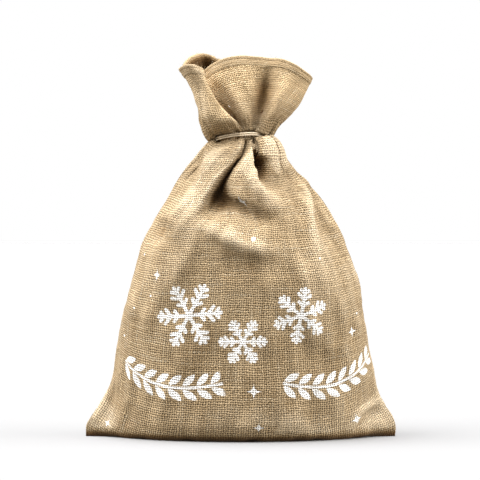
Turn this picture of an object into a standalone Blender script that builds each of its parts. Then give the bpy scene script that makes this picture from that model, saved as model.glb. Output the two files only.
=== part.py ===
"""A filled burlap sack that stands on the floor with its neck tied and its mouth flared above the tie.

The cloth is one length of burlap, folded across the bottom and sewn up both sides, so it is one solid, and
its flat girth is twice its flat width. Places on the flat cloth are given by "round", the distance round the
girth from the left seam, across the front to the right seam and back across the rear, and "run", the distance
up the middle of a face from the fold across the bottom. Each row of the cloth is an outline that closes on
itself. The rows lie on the floor under the sack, climb its walls, draw in to the pleated neck and open again
to the hem. Cloth that leans over the two creases at the neck, and the finest creases, are left to the scene.

Sizes are in millimetres and become metres when a mesh is made. +X is the sack's right as seen from its front,
-Y is the front, and the origin is on the floor under the middle.
"""

import math
from typing import NamedTuple

import bmesh
import bpy
import numpy as np

TO_METRES = 0.001

# The flat cloth.
FLAT_WIDTH = 350.0
GIRTH = 2 * FLAT_WIDTH
CLOTH_THICKNESS = 2.0
HEM_THICKNESS = 3.2
HEM_DEPTH = 12.0
HEM_EASES_OVER = 1.5

# The gather: the cloth is drawn in above one run, and between the pleats part of it is tucked away.
NECK_RUN = 420.0
NECK_HEIGHT = 332.6
GATHERS_FROM = 300.0
GATHER_CURVE = 1.75
TUCKS_FROM = 350.0
TUCKS_OVER = 50.0
MOST_TUCKED = 0.38
TUCK_EDGE = 0.03
TUCK_PACKING = 0.04
TUCK_EASES_FROM = 0.1
TUCK_SAMPLES = 241
PLEATS_EASE_OVER = 22.0
PLEAT_SLOPE = 1.3
SHALLOWEST_PLEAT = 0.4
CROWNS_FROM = 360.0
CROWNS_OVER = 40.0
CROWNS_END_OVER = 18.0
CROWN_WIDTH_TO_RISE = 7.0
HIGHEST_CROWN = 4.0
CROWN_CURVE = 1.4

# The tie, and the groove that it lies in.
GROOVE_HEIGHT = 6.8
TIE_DIAMETER = 1.9
TIE_TURNS = 2
TIE_STEPS_A_TURN = 40
TIE_PITCH = 2.15
TIE_CLEARANCE = 0.5
TIE_STARTS_AT = 0.75
TIE_RISE_IN_FRONT = 3.4
TIE_DROP_AT_LEFT = 2.2
TIE_SLANT_FROM = 380.0
FOLDS_END_OVER = 8.0

# The mouth. The foot of its roll bulges forward over the tie.
MOUTH_PUFF = 6.0
FRONT_PUFF = 6.0
PUFF_CURVE = (0.55, 1.2)
LOBE_ROUND = 42.0
LOBE_REACH = 42.0
LOBE_CLIMB = 0.17
LOBE_HEIGHT = 0.14
LOBE_HANGS = 6.5
FOLDS_BEGIN_OVER = 0.1
OPENING_FLOOR = 382.0

# The corners: the runs between which the rows become plain ovals, and how soon each leaves the floor.
CORNERS_FROM = (60, 160)
CORNERS_SETTLE_AT = (0.72, 1.0)
CORNER_CURVE = 0.9
FOLDS_ABOVE_FLOOR = 3.0
FOLDS_GROW_OVER = 14.0

# How finely the cloth is divided. No fold is narrower than the columns can show.
COLUMNS = 96
FLOOR_ROWS = 6
FLOOR_TO = 78.0
WALL_ROWS = 24
WALL_TO = 362.0
SHOULDER_ROWS = 7
MOUTH_ROWS = 9
MOUTH_SPACING = 1.2
LINING_ROWS = 7
ROLL_COLUMNS = (0.12, 0.08, 0.7)
COLUMN_SAMPLES = 1001
OUTLINE_SAMPLES = 1440
OUTLINE_STEP = 0.004
PATH_STEP = 2.0
NARROWEST_REACH = 7.0
FOLD_REACHES_DOWN = 40.0
FOLD_REACHES_UP = 25.0
FOLD_WELD = 0.1
TINY = 1e-9

BURLAP_COLOUR = (0.42, 0.31, 0.19)
BURLAP_ROUGHNESS = 0.95
CORD_COLOUR = (0.62, 0.56, 0.42)
CORD_ROUGHNESS = 0.85


class Level(NamedTuple):
    """One outline of the sack below the tie."""

    run: float  # up the middle of a face from the bottom fold
    seam_z: float  # height of both side seams
    left_x: float
    right_x: float
    front_y: float
    front_z: float
    back_y: float
    back_z: float
    pinch: float  # 1 for an oval, more where the corners are flattened into ears


LEVELS = [
    Level(0, 0.0, -174.0, 175.0, 0.0, 0.0, 0.0, 0.0, 2.3),
    Level(20, 10.0, -174.0, 176.0, -20.0, 0.0, 20.0, 0.0, 2.1),
    Level(42, 22.0, -169.0, 172.5, -42.0, 0.0, 42.0, 0.0, 1.9),
    Level(60, 33.0, -162.0, 166.0, -59.0, 0.0, 60.0, 0.0, 1.75),
    Level(78, 45.0, -153.5, 158.5, -75.0, 5.0, 78.0, 5.0, 1.55),
    Level(98, 58.0, -147.0, 153.0, -81.5, 22.0, 86.0, 22.0, 1.35),
    Level(125, 78.0, -142.0, 150.0, -82.5, 49.0, 87.0, 49.0, 1.18),
    Level(160, 106.0, -138.0, 145.0, -83.0, 84.5, 87.4, 84.5, 1.06),
    Level(200, 140.0, -131.0, 139.5, -84.0, 124.5, 87.4, 124.5, 1.0),
    Level(240, 176.0, -120.5, 134.0, -84.5, 164.5, 86.0, 164.5, 1.0),
    Level(280, 212.0, -112.0, 121.0, -81.5, 204.0, 80.0, 204.0, 1.0),
    Level(312, 242.0, -98.0, 108.0, -74.5, 234.0, 71.0, 234.0, 1.0),
    Level(340, 268.0, -82.0, 92.0, -63.5, 261.0, 59.5, 261.0, 1.0),
    Level(366, 292.0, -68.0, 70.0, -52.5, 286.5, 48.0, 287.0, 1.0),
    Level(390, 311.0, -51.5, 52.0, -41.5, 308.0, 39.0, 308.0, 1.0),
    Level(408, 324.0, -37.5, 42.0, -32.0, 323.5, 30.5, 323.0, 1.0),
    Level(NECK_RUN, NECK_HEIGHT, -28.0, 28.0, -23.0, NECK_HEIGHT, 22.0, NECK_HEIGHT, 1.0),
]


class Pleat(NamedTuple):
    """One pleat of the gather: where its valley runs and how deep it is."""

    name: str
    round: float  # flat distance from the left seam
    neck_share: float  # where it meets the neck, as a share of the way round
    foot: float  # the run at which it begins
    deepens_over: float
    depth: float
    lip: float  # how wide the rounded lip is on its left side
    slope: float  # how far its gentle right side spreads


PLEATS = [
    Pleat("left_side", 26.0, 0.055, 350, 50, 4.0, 8.0, 14.0),
    Pleat("front_crease", 95.0, 0.285, 345, 60, 6.0, 4.0, 12.0),
    Pleat("front_pocket", 205.0, 0.352, 366, 40, 6.0, 4.0, 9.0),
    Pleat("right_front", 268.0, 0.43, 355, 50, 0.8, 6.0, 12.0),
    Pleat("right_side", 322.0, 0.497, 350, 50, 1.0, 7.0, 10.0),
    Pleat("back_right", 392.0, 0.57, 320, 70, 7.0, 6.0, 12.0),
    Pleat("back_second", 456.0, 0.65, 290, 80, 9.0, 6.0, 14.0),
    Pleat("back_middle", 525.0, 0.73, 320, 70, 8.0, 6.0, 12.0),
    Pleat("back_fourth", 594.0, 0.82, 296, 80, 9.0, 6.0, 14.0),
    Pleat("back_left", 656.0, 0.93, 330, 70, 6.0, 6.0, 10.0),
]


class Stretch(NamedTuple):
    """A stretch of the girth that folds lie on."""

    from_round: float
    to_round: float
    soft: float  # over how much cloth the folds die out at both ends


class FoldPoint(NamedTuple):
    """A point along a fold as seen from its face. A rise below zero is a trough."""

    x: float
    z: float
    rise: float
    left: float  # how far the fold reaches on each side
    right: float


class Fold(NamedTuple):
    """A trough or ridge that runs through its points."""

    name: str
    stretch: Stretch
    path: list


FRONT = Stretch(0.0, 350.0, 1.0)
BACK = Stretch(350.0, 700.0, 1.0)
FRONT_PANEL = Stretch(96.0, 322.0, 22.0)
ROLL = Stretch(0.0, 96.0, 16.0)

FOLDS = [
    Fold("front_crease", FRONT, [
        FoldPoint(6.5, 334, -3, 2, 3),
        FoldPoint(5, 323, -9, 2, 3),
        FoldPoint(-2, 311, -13, 2, 4),
        FoldPoint(-11, 303, -14, 2.4, 5),
        FoldPoint(-20, 294, -17, 2.6, 8),
        FoldPoint(-28, 284, -22, 3, 14),
        FoldPoint(-33, 274, -23, 3, 21),
        FoldPoint(-34, 265, -19, 3.5, 26),
        FoldPoint(-35, 257, -11, 5, 24),
        FoldPoint(-36, 249, -4, 7, 20),
        FoldPoint(-37, 241, 0, 8, 15),
    ]),
    Fold("crease_lip", FRONT, [
        FoldPoint(1, 330, 0, 6, 5),
        FoldPoint(-6, 316, 1.5, 9, 8),
        FoldPoint(-20, 301, 2.5, 13, 10),
        FoldPoint(-38, 280, 3.5, 18, 12),
        FoldPoint(-46, 262, 6.5, 20, 14),
        FoldPoint(-54, 244, 7, 18, 14),
        FoldPoint(-70, 216, 0, 16, 14),
    ]),
    Fold("front_pocket", FRONT, [
        FoldPoint(17, 334, -3, 1.8, 2.5),
        FoldPoint(15, 323, -5, 2, 3),
        FoldPoint(16, 314, -12, 3, 6),
        FoldPoint(18, 306, -24, 4, 12),
        FoldPoint(21, 298, -22, 4, 13),
        FoldPoint(29, 286, -8, 6, 13),
        FoldPoint(42, 270, -2, 10, 14),
        FoldPoint(54, 256, 0, 12, 14),
    ]),
    Fold("middle_lobe", FRONT, [
        FoldPoint(7, 328, 0, 5, 4),
        FoldPoint(5, 314, 3.5, 8, 5),
        FoldPoint(8, 299, 5, 10, 6),
        FoldPoint(18, 284, 7, 11, 7),
        FoldPoint(30, 272, 7, 11, 8),
        FoldPoint(42, 260, 3, 10, 9),
        FoldPoint(52, 250, 0, 10, 9),
    ]),
    Fold("right_lobe", FRONT, [
        FoldPoint(26, 334, 0, 4, 6),
        FoldPoint(33, 322, 5, 6, 8),
        FoldPoint(44, 305, 5, 8, 9),
        FoldPoint(50, 290, 0, 8, 8),
    ]),
    Fold("left_shoulder_trough", FRONT, [
        FoldPoint(-40, 318, 0, 6, 6),
        FoldPoint(-49, 303, -6, 9, 8),
        FoldPoint(-61, 284, -6, 10, 9),
        FoldPoint(-74, 264, -3, 10, 10),
        FoldPoint(-84, 250, 0, 9, 9),
    ]),
    Fold("left_shoulder_ridge", FRONT, [
        FoldPoint(-16, 329, 0, 6, 5),
        FoldPoint(-27, 317, 3, 9, 8),
        FoldPoint(-42, 296, 3.5, 9, 10),
        FoldPoint(-58, 268, 4, 10, 13),
        FoldPoint(-74, 242, 5, 11, 13),
        FoldPoint(-90, 213, 3, 12, 14),
        FoldPoint(-112, 165, 0, 12, 14),
    ]),
    Fold("left_shoulder_dimple", FRONT, [
        FoldPoint(-76, 247, 0, 8, 8),
        FoldPoint(-85, 233, -6, 11, 11),
        FoldPoint(-95, 214, 0, 9, 9),
    ]),
    Fold("left_drape", FRONT, [
        FoldPoint(-40, 246, 0, 18, 8),
        FoldPoint(-50, 222, 4, 22, 9),
        FoldPoint(-62, 196, 6, 26, 10),
        FoldPoint(-88, 160, 5, 26, 14),
        FoldPoint(-104, 122, 0, 22, 14),
    ]),
    Fold("left_wall_ridge", FRONT, [
        FoldPoint(-112, 190, 0, 8, 12),
        FoldPoint(-120, 150, 2.5, 8, 14),
        FoldPoint(-130, 110, 0, 8, 14),
    ]),
    Fold("right_shoulder_trough", FRONT, [
        FoldPoint(52, 304, 0, 6, 5),
        FoldPoint(58, 290, -4, 7, 5),
        FoldPoint(62, 265, -4, 9, 5.5),
        FoldPoint(65, 240, -3, 10, 7),
        FoldPoint(68, 218, 0, 10, 8),
    ]),
    Fold("right_shoulder_ridge", FRONT, [
        FoldPoint(66, 294, 0, 5, 6),
        FoldPoint(71, 278, 4.5, 5, 6),
        FoldPoint(76, 255, 6, 6, 6),
        FoldPoint(79, 230, 6, 7, 7),
        FoldPoint(88, 198, 4, 9, 10),
        FoldPoint(95, 170, 0, 10, 14),
    ]),
    Fold("right_shoulder_dip", FRONT, [
        FoldPoint(77, 286, 0, 5, 6),
        FoldPoint(85, 268, -4, 6, 7),
        FoldPoint(95, 244, -5, 8, 8),
        FoldPoint(104, 214, -3, 8, 8),
        FoldPoint(109, 186, 0, 8, 8),
    ]),
    Fold("right_drape", FRONT, [
        FoldPoint(68, 225, 0, 10, 22),
        FoldPoint(72, 190, 5, 13, 26),
        FoldPoint(78, 145, 5.5, 16, 26),
        FoldPoint(90, 95, 0, 16, 22),
    ]),
    Fold("sag_hollow", FRONT, [
        FoldPoint(-34, 255, -2, 9, 12),
        FoldPoint(-20, 254, -5, 10, 12),
        FoldPoint(-4, 252, -6.5, 11, 12),
        FoldPoint(14, 249, -7.5, 12, 9),
        FoldPoint(30, 244, -6, 11, 7),
        FoldPoint(42, 241, 0, 10, 7),
    ]),
    Fold("sag_swell", FRONT, [
        FoldPoint(-44, 242, 0, 8, 8),
        FoldPoint(-33, 234, 3, 9, 8),
        FoldPoint(-20, 227, 6, 10, 9),
        FoldPoint(-4, 220, 7.5, 11, 10),
        FoldPoint(12, 214, 7.5, 11, 11),
        FoldPoint(28, 210, 5, 11, 11),
        FoldPoint(44, 209, 0, 11, 11),
    ]),
    Fold("lower_hollow", FRONT, [
        FoldPoint(-52, 210, 0, 12, 12),
        FoldPoint(-25, 198, -1.5, 14, 16),
        FoldPoint(0, 193, -2, 14, 16),
        FoldPoint(28, 194, -1.5, 14, 14),
        FoldPoint(54, 204, 0, 12, 12),
    ]),
    Fold("left_ear_rim", FRONT, [
        FoldPoint(-147, 68, 0, 5, 5),
        FoldPoint(-152, 48, 1.5, 6, 5),
        FoldPoint(-160, 26, 1.5, 7, 6),
        FoldPoint(-165, 14, 0, 6, 6),
    ]),
    Fold("left_ear_dent", FRONT, [
        FoldPoint(-134, 60, 0, 6, 7),
        FoldPoint(-146, 40, -1.5, 6, 8),
        FoldPoint(-156, 20, -1.5, 6, 8),
        FoldPoint(-162, 10, 0, 6, 6),
    ]),
    Fold("left_ear_crease", FRONT, [
        FoldPoint(-124, 42, 0, 3, 5),
        FoldPoint(-125, 32, -3, 3, 6),
        FoldPoint(-126, 20, -2, 3, 6),
        FoldPoint(-128, 12, 0, 3, 6),
    ]),
    Fold("right_ear_ridge", FRONT, [
        FoldPoint(119, 6, 0, 4, 4),
        FoldPoint(126, 17, 2, 5, 4),
        FoldPoint(134, 27, 3, 5, 4),
        FoldPoint(146, 35, 3, 5, 4),
        FoldPoint(157, 37, 1.5, 4, 4),
        FoldPoint(166, 36, 0, 4, 4),
    ]),
    Fold("right_ear_dent", FRONT, [
        FoldPoint(127, 6, 0, 4, 4),
        FoldPoint(134, 17, -2, 4, 5),
        FoldPoint(141, 25, -3.5, 4, 6),
        FoldPoint(151, 28, -3.5, 5, 6),
        FoldPoint(162, 27, 0, 5, 5),
    ]),
    Fold("right_ear_swell", FRONT, [
        FoldPoint(146, 8, 0, 6, 6),
        FoldPoint(155, 16, 1.5, 6, 6),
        FoldPoint(164, 15, 0, 6, 6),
    ]),
    Fold("mouth_valley", FRONT_PANEL, [
        FoldPoint(25, 417, 0, 12, 11),
        FoldPoint(27, 404, -6, 13, 11),
        FoldPoint(28, 390, -12, 13, 11),
        FoldPoint(25, 377, -13, 12, 11),
        FoldPoint(19, 363, -9, 9, 11),
        FoldPoint(14, 348, -4, 6, 8),
        FoldPoint(12, 338, 0, 5, 6),
    ]),
    Fold("mouth_left_crease", FRONT_PANEL, [
        FoldPoint(-36, 398, 0, 7, 12),
        FoldPoint(-25, 382, -5, 7, 14),
        FoldPoint(-14, 366, -8, 7, 14),
        FoldPoint(-5, 353, -8, 6, 10),
        FoldPoint(3, 343, -3, 4, 6),
    ]),
    Fold("mouth_right_swell", FRONT_PANEL, [
        FoldPoint(54, 405, 0, 10, 10),
        FoldPoint(48, 385, 3, 10, 11),
        FoldPoint(42, 362, 3, 9, 11),
        FoldPoint(33, 347, 1, 7, 8),
    ]),
    Fold("roll_lobe", ROLL, [
        FoldPoint(-52, 397, 0, 9, 8),
        FoldPoint(-45, 381, 3, 10, 9),
        FoldPoint(-38, 366, 5, 12, 10),
        FoldPoint(-30, 356, 0, 10, 9),
    ]),
    Fold("roll_left_ridge", ROLL, [
        FoldPoint(-64, 408, 0, 6, 7),
        FoldPoint(-57, 396, 4, 7, 8),
        FoldPoint(-49, 382, 4, 7, 8),
        FoldPoint(-42, 368, 0, 7, 7),
    ]),
    Fold("roll_back", BACK, [
        FoldPoint(-18, 414, 0, 10, 10),
        FoldPoint(-36, 414, 7, 11, 11),
        FoldPoint(-54, 409, 7, 11, 11),
        FoldPoint(-66, 402, 0, 10, 10),
    ]),
    Fold("back_trough", BACK, [
        FoldPoint(-60, 252, 0, 14, 14),
        FoldPoint(-15, 241, -5, 15, 15),
        FoldPoint(30, 231, 0, 14, 14),
    ]),
    Fold("back_swell", BACK, [
        FoldPoint(-50, 222, 0, 14, 14),
        FoldPoint(0, 207, 2.5, 17, 17),
        FoldPoint(45, 202, 0, 14, 14),
    ]),
    Fold("back_right_ridge", BACK, [
        FoldPoint(78, 265, 0, 8, 8),
        FoldPoint(98, 222, 4, 10, 10),
        FoldPoint(118, 172, 0, 10, 10),
    ]),
    Fold("back_left_trough", BACK, [
        FoldPoint(-95, 242, 0, 9, 9),
        FoldPoint(-80, 215, -4, 10, 10),
        FoldPoint(-70, 182, 0, 10, 10),
    ]),
]


class Tuck(NamedTuple):
    """How far a stretch of the open mouth is tucked away, at one height."""

    climb: float
    round: float  # its middle
    reach: float
    sideways: float
    inwards: float


# Where the cloth right of the roll is tucked back behind it.
ROLL_TUCK = [
    Tuck(0.00, 118, 8, 0, 0),
    Tuck(0.06, 112, 9, -4, 5),
    Tuck(0.14, 105, 11, -8, 9),
    Tuck(0.28, 97, 13, -11, 13),
    Tuck(0.45, 92, 14, -11, 13),
    Tuck(0.65, 90, 14, -7, 8),
    Tuck(0.85, 90, 14, -2, 3),
    Tuck(1.00, 90, 14, 0, 0),
]


class HemPoint(NamedTuple):
    """A crest, valley or turn of the hem of the open mouth."""

    round: float
    x: float
    y: float
    z: float


HEM = [
    HemPoint(0, -67, -8, 412),
    HemPoint(16, -68, -22, 414),
    HemPoint(34, -60, -34, 417),
    HemPoint(52, -47, -33, 416),
    HemPoint(66, -42.5, -23, 413),
    HemPoint(80, -48.5, -13, 410),
    HemPoint(95, -54.5, -4, 409),
    HemPoint(109, -50.5, 3.5, 410),
    HemPoint(122, -41, 0.5, 414),
    HemPoint(146, -23, -8, 424),
    HemPoint(170, -2, -12, 429),
    HemPoint(194, 20, -6, 428),
    HemPoint(208, 31, -3, 427),
    HemPoint(228, 48, -8, 425.5),
    HemPoint(250, 64, -8, 418.5),
    HemPoint(274, 79, 0, 408),
    HemPoint(290, 81, 7, 405),
    HemPoint(318, 67, 10, 411),
    HemPoint(350, 77, 17, 409),
    HemPoint(374, 64, 29, 414),
    HemPoint(397, 50, 21, 418),
    HemPoint(421, 42, 34, 421),
    HemPoint(440, 28, 41, 423),
    HemPoint(463, 16, 31, 424),
    HemPoint(480, 9, 21, 423),
    HemPoint(499, 2, 29, 422),
    HemPoint(523, -13, 37, 424),
    HemPoint(548, -22, 24, 427),
    HemPoint(563, -26, 16, 428),
    HemPoint(590, -33, 20, 432),
    HemPoint(618, -44, 20, 434),
    HemPoint(650, -56, 11, 430),
    HemPoint(678, -65, 1, 420),
]


class Spread(NamedTuple):
    """How far the mouth has opened, from 0 at the neck to 1 at the hem, on each of its sides."""

    climb: float
    left: float
    right: float
    front: float
    back: float


SPREADS = [
    Spread(0.00, 0.00, 0.00, 0.00, 0.00),
    Spread(0.06, 0.15, 0.13, 0.10, 0.12),
    Spread(0.16, 0.27, 0.27, 0.16, 0.26),
    Spread(0.34, 0.34, 0.50, 0.34, 0.46),
    Spread(0.50, 0.42, 0.67, 0.52, 0.60),
    Spread(0.66, 0.54, 0.80, 0.69, 0.72),
    Spread(0.82, 0.74, 0.91, 0.85, 0.86),
    Spread(1.00, 1.00, 1.00, 1.00, 1.00),
]


def smooth_curve(at, knots, values):
    """Values at the given places on a curve through the knots that never overshoots them."""
    knots = np.asarray(knots, float)
    values = np.asarray(values, float).reshape(len(knots), -1)
    gaps = np.diff(knots)
    slopes = np.diff(values, axis=0) / gaps[:, None]
    tangents = np.zeros_like(values)
    before, after = slopes[:-1], slopes[1:]
    same_way = before * after > 0
    w1 = (2 * gaps[1:] + gaps[:-1])[:, None]
    w2 = (gaps[1:] + 2 * gaps[:-1])[:, None]
    safe_before = np.where(same_way, before, 1.0)
    safe_after = np.where(same_way, after, 1.0)
    tangents[1:-1] = np.where(same_way, (w1 + w2) / (w1 / safe_before + w2 / safe_after), 0.0)
    tangents[0], tangents[-1] = slopes[0], slopes[-1]
    at = np.clip(np.asarray(at, float), knots[0], knots[-1])
    gap = np.clip(np.searchsorted(knots, at, side="right") - 1, 0, len(gaps) - 1)
    return hermite(at, knots, values, tangents, gap)


def hermite(at, knots, values, tangents, gap):
    """Values on a cubic between each gap's two knots, with the tangents given there."""
    width = (knots[gap + 1] - knots[gap])[:, None]
    t = (at - knots[gap])[:, None] / width
    return (
        (1 + 2 * t) * (1 - t) ** 2 * values[gap]
        + t * (1 - t) ** 2 * width * tangents[gap]
        + t**2 * (3 - 2 * t) * values[gap + 1]
        + t**2 * (t - 1) * width * tangents[gap + 1]
    )


def closed_curve(at, knots, values, period):
    """Values at the given places on a smooth curve through the knots that closes after one period."""
    knots = np.asarray(knots, float)
    values = np.asarray(values, float)
    knots = np.concatenate([knots[-2:] - period, knots, knots[:3] + period])
    values = np.concatenate([values[-2:], values, values[:3]])
    tangents = np.zeros_like(values)
    tangents[1:-1] = (values[2:] - values[:-2]) / (knots[2:] - knots[:-2])[:, None]
    at = np.mod(np.asarray(at, float), period)
    gap = np.searchsorted(knots, at, side="right") - 1
    return hermite(at, knots, values, tangents, gap)


def ease(share):
    """A smooth step from 0 to 1."""
    share = np.clip(share, 0.0, 1.0)
    return share * share * (3 - 2 * share)


def bump(distance, reach):
    """A soft hump, 1 at no distance and fading over the reach."""
    return np.exp(-((distance / reach) ** 2))


def tie_lift(share):
    """How far the tie's slanting path lies above its mean height, at a share of the way round."""
    turn = 2 * math.pi * np.asarray(share)
    return TIE_RISE_IN_FRONT * np.sin(turn) - TIE_DROP_AT_LEFT * np.cos(turn)


def outline(run):
    """The outline of the sack at a run: points round it, the share of its length at each, and its length."""
    level = smooth_curve([run], [row.run for row in LEVELS], [row[1:] for row in LEVELS])[0]
    seam_z, left_x, right_x, front_y, front_z, back_y, back_z, pinch = level
    angle = np.linspace(0, 2 * math.pi, OUTLINE_SAMPLES + 1)
    is_front = angle <= math.pi
    bulge = np.abs(np.sin(angle))
    x = (left_x + right_x) / 2 - (right_x - left_x) / 2 * np.cos(angle)
    y = np.where(is_front, front_y, back_y) * bulge**pinch
    middle_z = np.where(is_front, front_z, back_z)
    settles_at = np.interp(run, CORNERS_FROM, CORNERS_SETTLE_AT)
    z = seam_z + (middle_z - seam_z) * ease((bulge / settles_at) ** CORNER_CURVE)
    points = np.stack([x, y, z], axis=1)
    length = np.concatenate([[0], np.cumsum(np.linalg.norm(np.diff(points, axis=0), axis=1))])
    return points, length / length[-1], length[-1]


def along_outline(share, shares, points):
    """The places on an outline at the given shares of the way round it."""
    share = np.mod(share, 1.0)
    return np.stack([np.interp(share, shares, points[:, k]) for k in range(3)], axis=1)


def cloth_between(hidden, t):
    """How far across a visible fold each column lies, with a share of its cloth tucked away at either end."""
    place = np.linspace(0, 1, TUCK_SAMPLES)
    from_left = np.exp((hidden - place) / TUCK_EDGE)
    from_right = np.exp((place - 1 + hidden) / TUCK_EDGE)
    shown = 1 / ((1 + from_left) * (1 + from_right))
    tucks = ease(hidden / TUCK_EASES_FROM)
    speed = (TUCK_PACKING + shown) * tucks + (1 - tucks)
    travelled = np.concatenate([[0], np.cumsum((speed[1:] + speed[:-1]) / 2)])
    return np.interp(t, place, travelled / travelled[-1])


def gather(run, columns, length):
    """Where each column lies on the outline at a run, as a share of the way round, and how deep it lies."""
    towards_neck = np.clip((run - GATHERS_FROM) / (NECK_RUN - GATHERS_FROM), 0, 1) ** GATHER_CURVE
    shares = [p.round / GIRTH + (p.neck_share - p.round / GIRTH) * towards_neck for p in PLEATS]
    below_tie = SHALLOWEST_PLEAT + (1 - SHALLOWEST_PLEAT) * ease((NECK_RUN - run) / PLEATS_EASE_OVER)
    depths = [p.depth * ease((run - p.foot) / p.deepens_over) * below_tie for p in PLEATS]
    share, depth = np.zeros(len(columns)), np.zeros(len(columns))
    for here, pleat in enumerate(PLEATS):
        there = (here + 1) % len(PLEATS)
        wrap = 1.0 if there == 0 else 0.0
        flat = PLEATS[there].round + wrap * GIRTH - pleat.round
        across = shares[there] + wrap - shares[here]
        seen = across * length
        hidden = np.clip((flat - seen) / flat / 2, 0, MOST_TUCKED) * ease((run - TUCKS_FROM) / TUCKS_OVER)
        along = np.mod(columns - pleat.round, GIRTH) / flat
        inside = along < 1
        gone = cloth_between(hidden, along[inside])
        share[inside] = shares[here] + across * gone
        from_valley = np.exp(-gone * seen / pleat.slope * PLEAT_SLOPE)
        to_valley = bump((1 - gone) * seen, PLEATS[there].lip)
        depth[inside] = depths[here] * from_valley + depths[there] * to_valley
        crown = min(seen / CROWN_WIDTH_TO_RISE, HIGHEST_CROWN)
        crown *= ease((run - CROWNS_FROM) / CROWNS_OVER) * ease((NECK_RUN - run) / CROWNS_END_OVER)
        depth[inside] -= crown * np.sin(math.pi * gone) ** CROWN_CURVE
    return share, depth


def smooth_path(path, spacing):
    """A fold's points, and how high and wide it is there, close together along a smooth curve."""
    path = np.array(path, float)
    steps = np.linalg.norm(np.diff(path[:, :2], axis=0), axis=1)
    knots = np.concatenate([[0], np.cumsum(steps)])
    at = np.linspace(0, knots[-1], int(knots[-1] / spacing) + 2)
    tangents = np.gradient(path, knots, axis=0)
    gap = np.clip(np.searchsorted(knots, at, side="right") - 1, 0, len(steps) - 1)
    return hermite(at, knots, path, tangents, gap)


def fold_rise(fold, x, z):
    """How far a fold moves the cloth at the given places, as seen from its face."""
    samples = smooth_path(fold.path, PATH_STEP)
    heading = np.gradient(samples[:, :2], axis=0)
    heading /= np.linalg.norm(heading, axis=1)[:, None]
    away_x = x[:, None] - samples[None, :, 0]
    away_z = z[:, None] - samples[None, :, 1]
    nearest = np.argmin(away_x**2 + away_z**2, axis=1)
    each = np.arange(len(x))
    distance = np.hypot(away_x[each, nearest], away_z[each, nearest])
    cross = heading[nearest, 0] * away_z[each, nearest] - heading[nearest, 1] * away_x[each, nearest]
    is_left = (cross > 0) != (heading[nearest, 1] < 0)
    reach = np.where(is_left, samples[nearest, 3], samples[nearest, 4])
    return samples[nearest, 2] * bump(distance, np.maximum(reach, NARROWEST_REACH))


def folds_at(points, columns):
    """How far all the folds together move each point outwards."""
    rise = np.zeros(len(points))
    for fold in FOLDS:
        stretch = fold.stretch
        heights = [point.z for point in fold.path]
        inside = (columns >= stretch.from_round) & (columns <= stretch.to_round)
        inside &= points[:, 2] > min(heights) - FOLD_REACHES_DOWN
        inside &= points[:, 2] < max(heights) + FOLD_REACHES_UP
        if inside.any():
            from_end = np.minimum(columns - stretch.from_round, stretch.to_round - columns)[inside]
            share = ease(from_end / stretch.soft)
            rise[inside] += share * fold_rise(fold, points[inside, 0], points[inside, 2])
    return rise


def row_of_body(run, columns):
    """The points of one row of the cloth from the floor to the tie."""
    points, shares, length = outline(run)
    share, depth = gather(run, columns, length)
    place = along_outline(share, shares, points)
    before = along_outline(share - OUTLINE_STEP, shares, points)
    tangent = along_outline(share + OUTLINE_STEP, shares, points) - before
    tangent[:, 2] = 0
    tangent /= np.maximum(np.linalg.norm(tangent, axis=1), TINY)[:, None]
    inward = np.stack([-tangent[:, 1], tangent[:, 0], np.zeros(len(tangent))], axis=1)
    at_tie = ease((NECK_RUN - run) / FOLDS_END_OVER)
    above_floor = ease((place[:, 2] - FOLDS_ABOVE_FLOOR) / FOLDS_GROW_OVER)
    place += inward * (depth - folds_at(place, columns) * at_tie * above_floor)[:, None]
    place[:, 2] += tie_lift(share) * ease((run - TIE_SLANT_FROM) / (NECK_RUN - TIE_SLANT_FROM))
    return place


def row_of_mouth(climb, columns, neck_row):
    """Points of the mouth's outside, each column at its own climb: 0 at the tie and 1 at the hem."""
    climb = np.broadcast_to(climb, columns.shape)
    hem = closed_curve(columns, [p.round for p in HEM], [p[1:] for p in HEM], GIRTH)
    left, right, front, back = smooth_curve(climb, [s.climb for s in SPREADS], [s[1:] for s in SPREADS]).T
    outward = neck_row[:, :2] / np.linalg.norm(neck_row[:, :2], axis=1)[:, None]
    sideways = np.where(outward[:, 0] < 0, left, right)
    forwards = np.where(outward[:, 1] < 0, front, back)
    opened = sideways * outward[:, 0] ** 2 + forwards * outward[:, 1] ** 2
    row = neck_row + (hem - neck_row) * opened[:, None]
    row[:, 2] = neck_row[:, 2] * (1 - climb) + hem[:, 2] * climb
    swell = np.sin(math.pi * climb ** PUFF_CURVE[0]) ** PUFF_CURVE[1]
    row[:, :2] += outward * (swell * (MOUTH_PUFF + FRONT_PUFF * outward[:, 1] ** 2))[:, None]
    rise = folds_at(row, columns) * ease(climb / FOLDS_BEGIN_OVER)
    row[:, 1] -= np.where(columns < FLAT_WIDTH, rise, -rise)
    row[:, 1] -= LOBE_HANGS * bump(columns - LOBE_ROUND, LOBE_REACH) * bump(climb - LOBE_CLIMB, LOBE_HEIGHT)
    tuck = smooth_curve(climb, [t.climb for t in ROLL_TUCK], [t[1:] for t in ROLL_TUCK])
    middle, reach, leftwards, inwards = tuck.T
    tucked = bump(columns - middle, reach)
    row[:, 0] += leftwards * tucked
    row[:, 1] += inwards * tucked
    return row


def cloth_columns(count):
    """Where the columns lie round the flat girth: alike on both faces, and closer across the roll."""
    even = np.linspace(0, 0.5, COLUMN_SAMPLES)
    middle, reach, closer = ROLL_COLUMNS
    weight = 1 + closer * bump(even - middle, reach)
    total = np.concatenate([[0], np.cumsum((weight[1:] + weight[:-1]) / 2)])
    front = np.interp(np.arange(count // 2 + 1) / (count // 2), total / total[-1], even) * GIRTH
    return np.concatenate([front, GIRTH - front[-2:0:-1]])


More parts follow.
